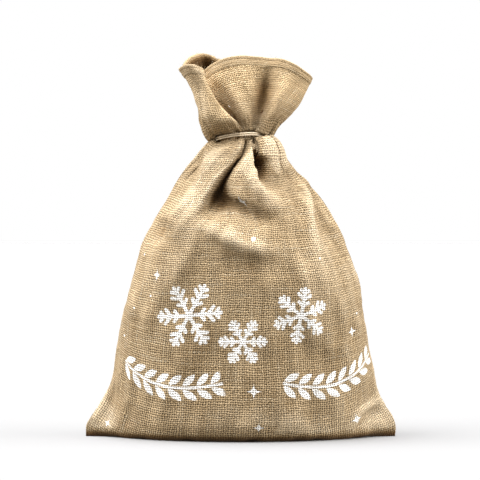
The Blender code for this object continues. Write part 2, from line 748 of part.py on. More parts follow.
def outer_rows(columns):
    """Every row of the outside: from the bottom fold to the tie's groove, then from there to the hem."""
    body_runs = np.concatenate([
        np.linspace(0, FLOOR_TO, FLOOR_ROWS, endpoint=False),
        np.linspace(FLOOR_TO, WALL_TO, WALL_ROWS, endpoint=False),
        np.linspace(WALL_TO, NECK_RUN, SHOULDER_ROWS),
    ])
    body = [row_of_body(run, columns) for run in body_runs]
    groove_top = body[-1] + np.array([0, 0, GROOVE_HEIGHT])
    climbs = np.linspace(0, 1, MOUTH_ROWS + 1)[1:] ** MOUTH_SPACING
    mouth = [groove_top] + [row_of_mouth(climb, columns, groove_top) for climb in climbs]
    return body, mouth


def lining_rows(columns, groove_top):
    """The inside of the mouth, from the hem down to the flat floor of the opening."""
    hem_z = row_of_mouth(1.0, columns, groove_top)[:, 2]
    floor_climb = (OPENING_FLOOR - groove_top[:, 2]) / (hem_z - groove_top[:, 2])
    rows = []
    for step in range(LINING_ROWS):
        climb = 1 - (1 - floor_climb) * step / (LINING_ROWS - 1)
        row = row_of_mouth(climb, columns, groove_top)
        around = np.roll(row, -1, axis=0) - np.roll(row, 1, axis=0)
        inward = np.stack([-around[:, 1], around[:, 0]], axis=1)
        inward /= np.linalg.norm(inward, axis=1)[:, None]
        in_hem = ease(HEM_EASES_OVER - (hem_z - row[:, 2]) / HEM_DEPTH)
        thickness = CLOTH_THICKNESS + (HEM_THICKNESS - CLOTH_THICKNESS) * in_hem
        row[:, :2] += inward * thickness[:, None]
        rows.append(row)
    return rows


def loft(name, rows):
    """A closed mesh over a stack of closed rows, from the bottom fold to a last row filled by a flat face."""
    shape = bmesh.new()
    rings = [[shape.verts.new(point * TO_METRES) for point in row] for row in rows]
    count = len(rings[0])
    for lower, upper in zip(rings, rings[1:]):
        for k in range(count):
            after = (k + 1) % count
            shape.faces.new((lower[k], lower[after], upper[after], upper[k]))
    shape.faces.new(rings[-1])
    bmesh.ops.remove_doubles(shape, verts=rings[0], dist=FOLD_WELD * TO_METRES)
    bmesh.ops.recalc_face_normals(shape, faces=shape.faces)
    mesh = bpy.data.meshes.new(name)
    shape.to_mesh(mesh)
    shape.free()
    return mesh


def finish(name, colour, roughness):
    """A material of one plain colour."""
    material = bpy.data.materials.new(name)
    material.use_nodes = True
    shader = material.node_tree.nodes["Principled BSDF"]
    shader.inputs["Base Color"].default_value = (*colour, 1.0)
    shader.inputs["Roughness"].default_value = roughness
    shader.inputs["Metallic"].default_value = 0.0
    return material


def make_sack_cloth(collection):
    """The burlap: full and closed below the tie, a thin open mouth above it."""
    columns = cloth_columns(COLUMNS)
    body, mouth = outer_rows(columns)
    rows = body + mouth + lining_rows(columns, mouth[0])
    mesh = loft("sack_cloth", rows)
    mesh.shade_smooth()
    mesh.materials.append(finish("burlap", BURLAP_COLOUR, BURLAP_ROUGHNESS))
    sack = bpy.data.objects.new("sack_cloth", mesh)
    collection.objects.link(sack)
    return sack


def make_neck_tie(collection):
    """A thin cord wound round the neck, its two ends tucked under at the back."""
    points, shares, _ = outline(NECK_RUN)
    steps = TIE_STEPS_A_TURN * TIE_TURNS
    route = bpy.data.curves.new("neck_tie", "CURVE")
    route.dimensions = "3D"
    route.bevel_depth = TIE_DIAMETER / 2 * TO_METRES
    route.bevel_resolution = 2
    route.use_fill_caps = True
    spline = route.splines.new("POLY")
    spline.points.add(steps)
    away = TIE_CLEARANCE + TIE_DIAMETER / 2
    for step in range(steps + 1):
        turns = TIE_TURNS * step / steps
        share = (TIE_STARTS_AT + turns) % 1.0
        spot = along_outline(np.array([share]), shares, points)[0]
        outward = spot[:2] / np.linalg.norm(spot[:2])
        spot[:2] += outward * away
        spot[2] += GROOVE_HEIGHT / 2 + tie_lift(share) + TIE_PITCH * (turns - TIE_TURNS / 2)
        spline.points[step].co = (*(spot * TO_METRES), 1.0)
    route.materials.append(finish("tie_cord", CORD_COLOUR, CORD_ROUGHNESS))
    tie = bpy.data.objects.new("neck_tie", route)
    collection.objects.link(tie)
    return tie


def main():
    """Clear the scene and make both sub-parts in one collection."""
    for obj in list(bpy.data.objects):
        bpy.data.objects.remove(obj, do_unlink=True)
    collection = bpy.data.collections.new("burlap_sack")
    bpy.context.scene.collection.children.link(collection)
    make_sack_cloth(collection)
    make_neck_tie(collection)


if __name__ == "__main__":
    main()
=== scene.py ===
"""The finished look of a filled burlap sack, tied at the neck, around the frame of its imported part.

Places on the cloth are given as in the part: "round" is the distance round the girth from the left
seam, across the front to the right seam and back across the rear, and "run" is the distance up from
the fold across the bottom. The cloth is woven square to them, so they are also its UV map. Sizes are
in millimetres unless a name says otherwise. +X is the sack's right as seen from its front, -Y is the
front, and the origin is on the floor under the middle.
"""

import logging
import math
from dataclasses import dataclass, field
from enum import Enum
from typing import NamedTuple

import bpy
import numpy as np
from mathutils import Matrix, Vector


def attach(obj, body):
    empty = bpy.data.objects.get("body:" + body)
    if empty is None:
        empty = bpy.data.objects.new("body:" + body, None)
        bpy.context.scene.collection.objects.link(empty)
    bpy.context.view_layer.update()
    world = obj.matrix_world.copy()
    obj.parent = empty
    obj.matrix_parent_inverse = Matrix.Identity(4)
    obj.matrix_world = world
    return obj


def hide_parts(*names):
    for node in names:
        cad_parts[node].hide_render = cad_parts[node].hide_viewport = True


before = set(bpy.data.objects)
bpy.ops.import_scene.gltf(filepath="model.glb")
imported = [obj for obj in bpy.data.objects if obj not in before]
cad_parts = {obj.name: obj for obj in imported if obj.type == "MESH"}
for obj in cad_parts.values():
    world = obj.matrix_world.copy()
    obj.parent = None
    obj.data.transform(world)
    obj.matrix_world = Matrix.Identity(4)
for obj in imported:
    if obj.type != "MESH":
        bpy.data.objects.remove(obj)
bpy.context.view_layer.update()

MM = 0.001
TAU = 2 * math.pi
log = logging.getLogger("burlap_sack")


# --------------------------------------------------------------------------------------------------
# Curves
# --------------------------------------------------------------------------------------------------


def hermite(
    at: np.ndarray, knots: np.ndarray, values: np.ndarray, tangents: np.ndarray, gap: np.ndarray
) -> np.ndarray:
    """Reads a cubic between each gap's two knots.

    Args:
        at: The places to read.
        knots: The places of the knots.
        values: A row of values for each knot.
        tangents: A row of slopes for each knot.
        gap: For each place, the number of the knot before it.

    Returns:
        A row of values for each place.
    """
    width = (knots[gap + 1] - knots[gap])[:, None]
    t = (at - knots[gap])[:, None] / width
    return (
        (1 + 2 * t) * (1 - t) ** 2 * values[gap]
        + t * (1 - t) ** 2 * width * tangents[gap]
        + t**2 * (3 - 2 * t) * values[gap + 1]
        + t**2 * (t - 1) * width * tangents[gap + 1]
    )


def smooth_curve(at: np.ndarray, knots: list, values: list) -> np.ndarray:
    """Reads a curve through the knots that never overshoots them.

    Args:
        at: The places to read.
        knots: The places of the knots, rising.
        values: A row of values for each knot.

    Returns:
        A row of values for each place.
    """
    knots = np.asarray(knots, float)
    values = np.asarray(values, float).reshape(len(knots), -1)
    gaps = np.diff(knots)
    slopes = np.diff(values, axis=0) / gaps[:, None]
    tangents = np.zeros_like(values)
    before, after = slopes[:-1], slopes[1:]
    same_way = before * after > 0
    w1 = (2 * gaps[1:] + gaps[:-1])[:, None]
    w2 = (gaps[1:] + 2 * gaps[:-1])[:, None]
    safe_before = np.where(same_way, before, 1.0)
    safe_after = np.where(same_way, after, 1.0)
    tangents[1:-1] = np.where(same_way, (w1 + w2) / (w1 / safe_before + w2 / safe_after), 0.0)
    tangents[0], tangents[-1] = slopes[0], slopes[-1]
    at = np.clip(np.asarray(at, float), knots[0], knots[-1])
    gap = np.clip(np.searchsorted(knots, at, side="right") - 1, 0, len(gaps) - 1)
    return hermite(at, knots, values, tangents, gap)


def closed_curve(at: np.ndarray, knots: list, values: list, period: float) -> np.ndarray:
    """Reads a smooth curve through the knots that closes after one period.

    Args:
        at: The places to read.
        knots: The places of the knots, rising, within one period.
        values: A row of values for each knot.
        period: The distance after which the curve repeats.

    Returns:
        A row of values for each place.
    """
    knots = np.asarray(knots, float)
    values = np.asarray(values, float)
    knots = np.concatenate([knots[-2:] - period, knots, knots[:3] + period])
    values = np.concatenate([values[-2:], values, values[:3]])
    tangents = np.zeros_like(values)
    tangents[1:-1] = (values[2:] - values[:-2]) / (knots[2:] - knots[:-2])[:, None]
    at = np.mod(np.asarray(at, float), period)
    gap = np.searchsorted(knots, at, side="right") - 1
    return hermite(at, knots, values, tangents, gap)


def ease(share: np.ndarray | float) -> np.ndarray:
    """Returns a smooth step from 0 to 1 as the share goes from 0 to 1."""
    share = np.clip(share, 0.0, 1.0)
    return share * share * (3 - 2 * share)


def bump(distance: np.ndarray | float, reach: float) -> np.ndarray:
    """Returns a soft hump, 1 at no distance and fading over the reach."""
    return np.exp(-((np.asarray(distance) / reach) ** 2))


def lengths_along(line: np.ndarray) -> np.ndarray:
    """Returns the distance from the first point of a line to each of its points."""
    return np.concatenate([[0], np.cumsum(np.linalg.norm(np.diff(line, axis=0), axis=1))])


def unit(vectors: np.ndarray) -> np.ndarray:
    """Returns the vectors at a length of 1, along their last axis."""
    return vectors / np.maximum(np.linalg.norm(vectors, axis=-1), 1e-9)[..., None]


def read_line(at: np.ndarray | float, length: np.ndarray, line: np.ndarray) -> np.ndarray:
    """Returns the points of a line at some distances along it."""
    return np.stack([np.interp(at, length, line[:, k]) for k in range(3)], axis=-1)


# --------------------------------------------------------------------------------------------------
# The sack's tables, the same as the part's
# --------------------------------------------------------------------------------------------------


class Level(NamedTuple):
    """One outline of the sack below the tie."""

    run: float  # up the middle of a face from the bottom fold
    seam_z: float  # height of both side seams
    left_x: float
    right_x: float
    front_y: float
    front_z: float
    back_y: float
    back_z: float
    pinch: float  # 1 for an oval, more where the corners are flattened into ears


class Pleat(NamedTuple):
    """One pleat of the gather: where its valley runs and how deep it is."""

    name: str
    round: float  # flat distance from the left seam
    neck_share: float  # where it meets the neck, as a share of the way round
    foot: float  # the run at which it begins
    deepens_over: float
    depth: float
    lip: float  # how wide the rounded lip is on its left side
    slope: float  # how far its gentle right side spreads


class FoldPoint(NamedTuple):
    """A point along a fold as seen from its face. A rise below zero is a trough."""

    x: float
    z: float
    rise: float
    left: float  # how far the fold reaches on each side
    right: float


class Part(Enum):
    """The stretch of the girth that a fold lies on, from one round to another.

    The third number is how much cloth the fold takes to die out at either end.
    """

    FRONT = (0.0, 350.0, 1.0)
    BACK = (350.0, 700.0, 1.0)
    FRONT_PANEL = (96.0, 322.0, 22.0)
    ROLL = (0.0, 96.0, 16.0)


class Fold(NamedTuple):
    """A trough or ridge that runs through its points."""

    name: str
    part: Part
    path: list
    edge: float = 2.0  # how abruptly its left side ends: 2 is soft
    far_edge: float = 2.0  # and its right side


def traced(*rows: tuple) -> list[FoldPoint]:
    """Returns a fold's points from the numbers of each."""
    return [FoldPoint(*row) for row in rows]


class HemPoint(NamedTuple):
    """A crest, valley or turn of the hem of the open mouth."""

    round: float
    x: float
    y: float
    z: float


class Tuck(NamedTuple):
    """How far a stretch of the open mouth is tucked away, at one height."""

    climb: float
    round: float  # its middle
    reach: float
    sideways: float
    inwards: float


class Spread(NamedTuple):
    """How far the mouth has opened, from 0 at the neck to 1 at the hem, on each of its sides."""

    climb: float
    left: float
    right: float
    front: float
    back: float


NECK_RUN = 420.0
NECK_HEIGHT = 332.6

LEVELS = [Level(*row) for row in (
    (0, 0, -174, 175, 0, 0, 0, 0, 2.3),
    (20, 10, -174, 176, -20, 0, 20, 0, 2.1),
    (42, 22, -169, 172.5, -42, 0, 42, 0, 1.9),
    (60, 33, -162, 166, -59, 0, 60, 0, 1.75),
    (78, 45, -153.5, 158.5, -75, 5, 78, 5, 1.55),
    (98, 58, -147, 153, -81.5, 22, 86, 22, 1.35),
    (125, 78, -142, 150, -82.5, 49, 87, 49, 1.18),
    (160, 106, -138, 145, -83, 84.5, 87.4, 84.5, 1.06),
    (200, 140, -131, 139.5, -84, 124.5, 87.4, 124.5, 1),
    (240, 176, -120.5, 134, -84.5, 164.5, 86, 164.5, 1),
    (280, 212, -112, 121, -81.5, 204, 80, 204, 1),
    (312, 242, -98, 108, -74.5, 234, 71, 234, 1),
    (340, 268, -82, 92, -63.5, 261, 59.5, 261, 1),
    (366, 292, -68, 70, -52.5, 286.5, 48, 287, 1),
    (390, 311, -51.5, 52, -41.5, 308, 39, 308, 1),
    (408, 324, -37.5, 42, -32, 323.5, 30.5, 323, 1),
    (NECK_RUN, NECK_HEIGHT, -28, 28, -23, NECK_HEIGHT, 22, NECK_HEIGHT, 1),
)]

PLEATS = [
    Pleat("left_side", 26.0, 0.055, 350, 50, 4.0, 8.0, 14.0),
    Pleat("front_crease", 95.0, 0.285, 345, 60, 6.0, 4.0, 12.0),
    Pleat("front_pocket", 205.0, 0.352, 366, 40, 6.0, 4.0, 9.0),
    Pleat("right_front", 268.0, 0.43, 355, 50, 0.8, 6.0, 12.0),
    Pleat("right_side", 322.0, 0.497, 350, 50, 1.0, 7.0, 10.0),
    Pleat("back_right", 392.0, 0.57, 320, 70, 7.0, 6.0, 12.0),
    Pleat("back_second", 456.0, 0.65, 290, 80, 9.0, 6.0, 14.0),
    Pleat("back_middle", 525.0, 0.73, 320, 70, 8.0, 6.0, 12.0),
    Pleat("back_fourth", 594.0, 0.82, 296, 80, 9.0, 6.0, 14.0),
    Pleat("back_left", 656.0, 0.93, 330, 70, 6.0, 6.0, 10.0),
]

FOLDS = [
    Fold("front_crease", Part.FRONT, traced(
        (6.5, 334, -3, 2, 3), (5, 323, -9, 2, 3), (-2, 311, -13, 2, 4), (-11, 303, -14, 2.4, 5),
        (-20, 294, -17, 2.6, 8), (-28, 284, -22, 3, 14), (-33, 274, -23, 3, 21),
        (-34, 265, -19, 3.5, 26), (-35, 257, -11, 5, 24), (-36, 249, -4, 7, 20),
        (-37, 241, 0, 8, 15),
    ), 4.0),
    Fold("crease_lip", Part.FRONT, traced(
        (1, 330, 0, 6, 5), (-6, 316, 1.5, 9, 8), (-20, 301, 2.5, 13, 10), (-38, 280, 3.5, 18, 12),
        (-46, 262, 6.5, 20, 14), (-54, 244, 7, 18, 14), (-70, 216, 0, 16, 14),
    )),
    Fold("front_pocket", Part.FRONT, traced(
        (17, 334, -3, 1.8, 2.5), (15, 323, -5, 2, 3), (16, 314, -12, 3, 6), (18, 306, -24, 4, 12),
        (21, 298, -22, 4, 13), (29, 286, -8, 6, 13), (42, 270, -2, 10, 14), (54, 256, 0, 12, 14),
    ), 4.0, 4.0),
    Fold("middle_lobe", Part.FRONT, traced(
        (7, 328, 0, 5, 4), (5, 314, 3.5, 8, 5), (8, 299, 5, 10, 6), (18, 284, 7, 11, 7),
        (30, 272, 7, 11, 8), (42, 260, 3, 10, 9), (52, 250, 0, 10, 9),
    )),
    Fold("right_lobe", Part.FRONT, traced(
        (26, 334, 0, 4, 6), (33, 322, 5, 6, 8), (44, 305, 5, 8, 9), (50, 290, 0, 8, 8),
    )),
    Fold("left_shoulder_trough", Part.FRONT, traced(
        (-40, 318, 0, 6, 6), (-49, 303, -6, 9, 8), (-61, 284, -6, 10, 9), (-74, 264, -3, 10, 10),
        (-84, 250, 0, 9, 9),
    )),
    Fold("left_shoulder_ridge", Part.FRONT, traced(
        (-16, 329, 0, 6, 5), (-27, 317, 3, 9, 8), (-42, 296, 3.5, 9, 10), (-58, 268, 4, 10, 13),
        (-74, 242, 5, 11, 13), (-90, 213, 3, 12, 14), (-112, 165, 0, 12, 14),
    )),
    Fold("left_shoulder_dimple", Part.FRONT, traced(
        (-76, 247, 0, 8, 8), (-85, 233, -6, 11, 11), (-95, 214, 0, 9, 9),
    )),
    Fold("left_drape", Part.FRONT, traced(
        (-40, 246, 0, 18, 8), (-50, 222, 4, 22, 9), (-62, 196, 6, 26, 10), (-88, 160, 5, 26, 14),
        (-104, 122, 0, 22, 14),
    )),
    Fold("left_wall_ridge", Part.FRONT, traced(
        (-112, 190, 0, 8, 12), (-120, 150, 2.5, 8, 14), (-130, 110, 0, 8, 14),
    )),
    Fold("right_shoulder_trough", Part.FRONT, traced(
        (52, 304, 0, 6, 5), (58, 290, -4, 7, 5), (62, 265, -4, 9, 5.5), (65, 240, -3, 10, 7),
        (68, 218, 0, 10, 8),
    )),
    Fold("right_shoulder_ridge", Part.FRONT, traced(
        (66, 294, 0, 5, 6), (71, 278, 4.5, 5, 6), (76, 255, 6, 6, 6), (79, 230, 6, 7, 7),
        (88, 198, 4, 9, 10), (95, 170, 0, 10, 14),
    )),
    Fold("right_shoulder_dip", Part.FRONT, traced(
        (77, 286, 0, 5, 6), (85, 268, -4, 6, 7), (95, 244, -5, 8, 8), (104, 214, -3, 8, 8),
        (109, 186, 0, 8, 8),
    )),
    Fold("right_drape", Part.FRONT, traced(
        (68, 225, 0, 10, 22), (72, 190, 5, 13, 26), (78, 145, 5.5, 16, 26), (90, 95, 0, 16, 22),
    )),
    Fold("sag_hollow", Part.FRONT, traced(
        (-34, 255, -2, 9, 12), (-20, 254, -5, 10, 12), (-4, 252, -6.5, 11, 12),
        (14, 249, -7.5, 12, 9), (30, 244, -6, 11, 7), (42, 241, 0, 10, 7),
    )),
    Fold("sag_swell", Part.FRONT, traced(
        (-44, 242, 0, 8, 8), (-33, 234, 3, 9, 8), (-20, 227, 6, 10, 9), (-4, 220, 7.5, 11, 10),
        (12, 214, 7.5, 11, 11), (28, 210, 5, 11, 11), (44, 209, 0, 11, 11),
    )),
    Fold("lower_hollow", Part.FRONT, traced(
        (-52, 210, 0, 12, 12), (-25, 198, -1.5, 14, 16), (0, 193, -2, 14, 16),
        (28, 194, -1.5, 14, 14), (54, 204, 0, 12, 12),
    )),
    Fold("left_ear_rim", Part.FRONT, traced(
        (-147, 68, 0, 5, 5), (-152, 48, 1.5, 6, 5), (-160, 26, 1.5, 7, 6), (-165, 14, 0, 6, 6),
    )),
    Fold("left_ear_dent", Part.FRONT, traced(
        (-134, 60, 0, 6, 7), (-146, 40, -1.5, 6, 8), (-156, 20, -1.5, 6, 8), (-162, 10, 0, 6, 6),
    )),
    Fold("left_ear_crease", Part.FRONT, traced(
        (-124, 42, 0, 3, 5), (-125, 32, -3, 3, 6), (-126, 20, -2, 3, 6), (-128, 12, 0, 3, 6),
    )),
    Fold("right_ear_ridge", Part.FRONT, traced(
        (119, 6, 0, 4, 4), (126, 17, 2, 5, 4), (134, 27, 3, 5, 4), (146, 35, 3, 5, 4),
        (157, 37, 1.5, 4, 4), (166, 36, 0, 4, 4),
    )),
    Fold("right_ear_dent", Part.FRONT, traced(
        (127, 6, 0, 4, 4), (134, 17, -2, 4, 5), (141, 25, -3.5, 4, 6), (151, 28, -3.5, 5, 6),
        (162, 27, 0, 5, 5),
    )),
    Fold("right_ear_swell", Part.FRONT, traced(
        (146, 8, 0, 6, 6), (155, 16, 1.5, 6, 6), (164, 15, 0, 6, 6),
    )),
    Fold("mouth_valley", Part.FRONT_PANEL, traced(
        (25, 417, 0, 12, 11), (27, 404, -6, 13, 11), (28, 390, -12, 13, 11),
        (25, 377, -13, 12, 11), (19, 363, -9, 9, 11), (14, 348, -4, 6, 8), (12, 338, 0, 5, 6),
    )),
    Fold("mouth_left_crease", Part.FRONT_PANEL, traced(
        (-36, 398, 0, 7, 12), (-25, 382, -5, 7, 14), (-14, 366, -8, 7, 14), (-5, 353, -8, 6, 10),
        (3, 343, -3, 4, 6),
    )),
    Fold("mouth_right_swell", Part.FRONT_PANEL, traced(
        (54, 405, 0, 10, 10), (48, 385, 3, 10, 11), (42, 362, 3, 9, 11), (33, 347, 1, 7, 8),
    )),
    Fold("roll_lobe", Part.ROLL, traced(
        (-52, 397, 0, 9, 8), (-45, 381, 3, 10, 9), (-38, 366, 5, 12, 10), (-30, 356, 0, 10, 9),
    )),
    Fold("roll_left_ridge", Part.ROLL, traced(
        (-64, 408, 0, 6, 7), (-57, 396, 4, 7, 8), (-49, 382, 4, 7, 8), (-42, 368, 0, 7, 7),
    )),
    Fold("roll_back", Part.BACK, traced(
        (-18, 414, 0, 10, 10), (-36, 414, 7, 11, 11), (-54, 409, 7, 11, 11), (-66, 402, 0, 10, 10),
    )),
    Fold("back_trough", Part.BACK, traced(
        (-60, 252, 0, 14, 14), (-15, 241, -5, 15, 15), (30, 231, 0, 14, 14),
    )),
    Fold("back_swell", Part.BACK, traced(
        (-50, 222, 0, 14, 14), (0, 207, 2.5, 17, 17), (45, 202, 0, 14, 14),
    )),
    Fold("back_right_ridge", Part.BACK, traced(
        (78, 265, 0, 8, 8), (98, 222, 4, 10, 10), (118, 172, 0, 10, 10),
    )),
    Fold("back_left_trough", Part.BACK, traced(
        (-95, 242, 0, 9, 9), (-80, 215, -4, 10, 10), (-70, 182, 0, 10, 10),
    )),
]

# Where a lobe leans over the trough on its right. A rise here is how far the cloth moves sideways.
OVERHANGS = [
    Fold("crease_lip_leans", Part.FRONT, traced(
        (3, 332, 0, 6, 2), (-1, 320, 3, 8, 2.5), (-15, 302, 4, 10, 3), (-34, 281, 5, 12, 3.5),
        (-44, 266, 4, 12, 5), (-50, 252, 0, 12, 8),
    )),
    Fold("pocket_lip_leans", Part.FRONT, traced(
        (13, 332, 0, 5, 1.5), (12, 320, 2.5, 6, 2), (12, 310, 4, 7, 2), (15, 299, 3, 8, 3),
        (23, 286, 0, 8, 5),
    )),
]

# Where the cloth right of the roll is tucked back behind it.
ROLL_TUCK = [Tuck(*row) for row in (
    (0.00, 118, 8, 0, 0),
    (0.06, 112, 9, -4, 5),
    (0.14, 105, 11, -8, 9),
    (0.28, 97, 13, -11, 13),
    (0.45, 92, 14, -11, 13),
    (0.65, 90, 14, -7, 8),
    (0.85, 90, 14, -2, 3),
    (1.00, 90, 14, 0, 0),
)]

HEM = [HemPoint(*row) for row in (
    (0, -67, -8, 412), (16, -68, -22, 414), (34, -60, -34, 417), (52, -47, -33, 416),
    (66, -42.5, -23, 413), (80, -48.5, -13, 410), (95, -54.5, -4, 409), (109, -50.5, 3.5, 410),
    (122, -41, 0.5, 414), (146, -23, -8, 424), (170, -2, -12, 429), (194, 20, -6, 428),
    (208, 31, -3, 427), (228, 48, -8, 425.5), (250, 64, -8, 418.5), (274, 79, 0, 408),
    (290, 81, 7, 405), (318, 67, 10, 411), (350, 77, 17, 409), (374, 64, 29, 414),
    (397, 50, 21, 418), (421, 42, 34, 421), (440, 28, 41, 423), (463, 16, 31, 424),
    (480, 9, 21, 423), (499, 2, 29, 422), (523, -13, 37, 424), (548, -22, 24, 427),
    (563, -26, 16, 428), (590, -33, 20, 432), (618, -44, 20, 434), (650, -56, 11, 430),
    (678, -65, 1, 420),
)]

SPREADS = [Spread(*row) for row in (
    (0.00, 0.00, 0.00, 0.00, 0.00),
    (0.06, 0.15, 0.13, 0.10, 0.12),
    (0.16, 0.27, 0.27, 0.16, 0.26),
    (0.34, 0.34, 0.50, 0.34, 0.46),
    (0.50, 0.42, 0.67, 0.52, 0.60),
    (0.66, 0.54, 0.80, 0.69, 0.72),
    (0.82, 0.74, 0.91, 0.85, 0.86),
    (1.00, 1.00, 1.00, 1.00, 1.00),
)]


class PaintedLightPatch(NamedTuple):
    """A patch of painted light on the front, where the cloth is paler, or with an amount below zero a patch
    of painted shade, where it is darker.
    """

    name: str
    part: Part
    x: float
    z: float
    wide: float
    high: float
    amount: float  # as if it stood this far proud, for painted light; below zero as if sunk, for painted shade


PAINTED_LIGHT_PATCHES = [
    PaintedLightPatch("roll_top_left", Part.ROLL, -60, 388, 16, 34, 15.0),
    PaintedLightPatch("right_lobe", Part.FRONT, 42, 324, 16, 15, 5.0),
    PaintedLightPatch("upper_left_shoulder", Part.FRONT, -34, 312, 17, 16, 2.5),
    PaintedLightPatch("middle_left_shoulder", Part.FRONT, -56, 274, 18, 18, 2.0),
    PaintedLightPatch("right_wall", Part.FRONT, 112, 180, 26, 60, 1.0),
    PaintedLightPatch("left_ear", Part.FRONT, -154, 20, 14, 22, 9.0),
    PaintedLightPatch("right_ear", Part.FRONT, 154, 20, 20, 24, 10.0),
    PaintedLightPatch("lower_front", Part.FRONT, 0, 22, 90, 14, 2.5),
    PaintedLightPatch("under_sag", Part.FRONT, 4, 248, 24, 8, 2.0),
    PaintedLightPatch("left_dimple", Part.FRONT, -96, 218, 11, 20, -2.5),
    PaintedLightPatch("lower_left_shoulder", Part.FRONT, -74, 240, 14, 20, -1.2),
    PaintedLightPatch("middle", Part.FRONT, 4, 178, 60, 18, -1.8),
    PaintedLightPatch("pocket_core", Part.FRONT, 21, 307, 5, 8, -5.0),
    PaintedLightPatch("left_of_centre", Part.FRONT, -22, 252, 14, 9, 2.0),
]


# --------------------------------------------------------------------------------------------------
# The shape of the cloth
# --------------------------------------------------------------------------------------------------


@dataclass(frozen=True)
class TiePath:
    """Where the tie runs round the neck, and how much room it has in its groove."""

    diameter: float = 1.9
    turns: int = 2
    pitch: float = 2.15
    clearance: float = 0.5
    groove_height: float = 6.8
    rise_in_front: float = 3.4
    drop_at_left: float = 2.2

    shut_from: float = 216.0  # the rounds between which the cloth closes over the tie at the right
    shut_to: float = 372.0
    shut_again_from: float = 655.0  # and the same round the left seam
    shut_again_to: float = 56.0
    eases: tuple = (26.0, 50.0, 24.0)  # over how much cloth it closes and opens at the right, and at the left
    left_share: float = 0.9
    lip_knots: tuple = (0.0, 1.0, 3.2, 5.2, 9.0, 16.0, 28.0)  # distances along the cloth from the groove
    lip_out: tuple = (0.0, 2.2, 2.6, 2.6, 2.0, 0.9, 0.0)
    lip_over: tuple = (0.0, 0.9, 5.4, 6.4, 5.6, 3.4, 0.0)

    def lips(self, away: np.ndarray | float, columns: np.ndarray) -> tuple[np.ndarray, np.ndarray]:
        """Finds how the cloth above and below closes over the tie where the photograph hides it.

        Args:
            away: The distances along the cloth from the groove.
            columns: The round of each column.

        Returns:
            How far each place moves outwards, and how far towards the tie.
        """
        closes, opens, at_left = self.eases
        right = ease((columns - self.shut_from) / closes) * ease((self.shut_to - columns) / opens)
        left = np.maximum(
            ease((self.shut_again_to - columns) / at_left), ease((columns - self.shut_again_from) / at_left)
        )
        shut = np.maximum(right, self.left_share * left)
        out = smooth_curve(np.atleast_1d(away), self.lip_knots, self.lip_out)[:, 0]
        over = smooth_curve(np.atleast_1d(away), self.lip_knots, self.lip_over)[:, 0]
        return shut * out, shut * over

    def lift(self, share: np.ndarray | float) -> np.ndarray:
        """Finds how far the slanting path lies above its mean height.

        Args:
            share: Places round the neck, as a share of the way round from the left seam.

        Returns:
            The heights above the mean.
        """
        turn = TAU * np.asarray(share)
        return self.rise_in_front * np.sin(turn) - self.drop_at_left * np.cos(turn)


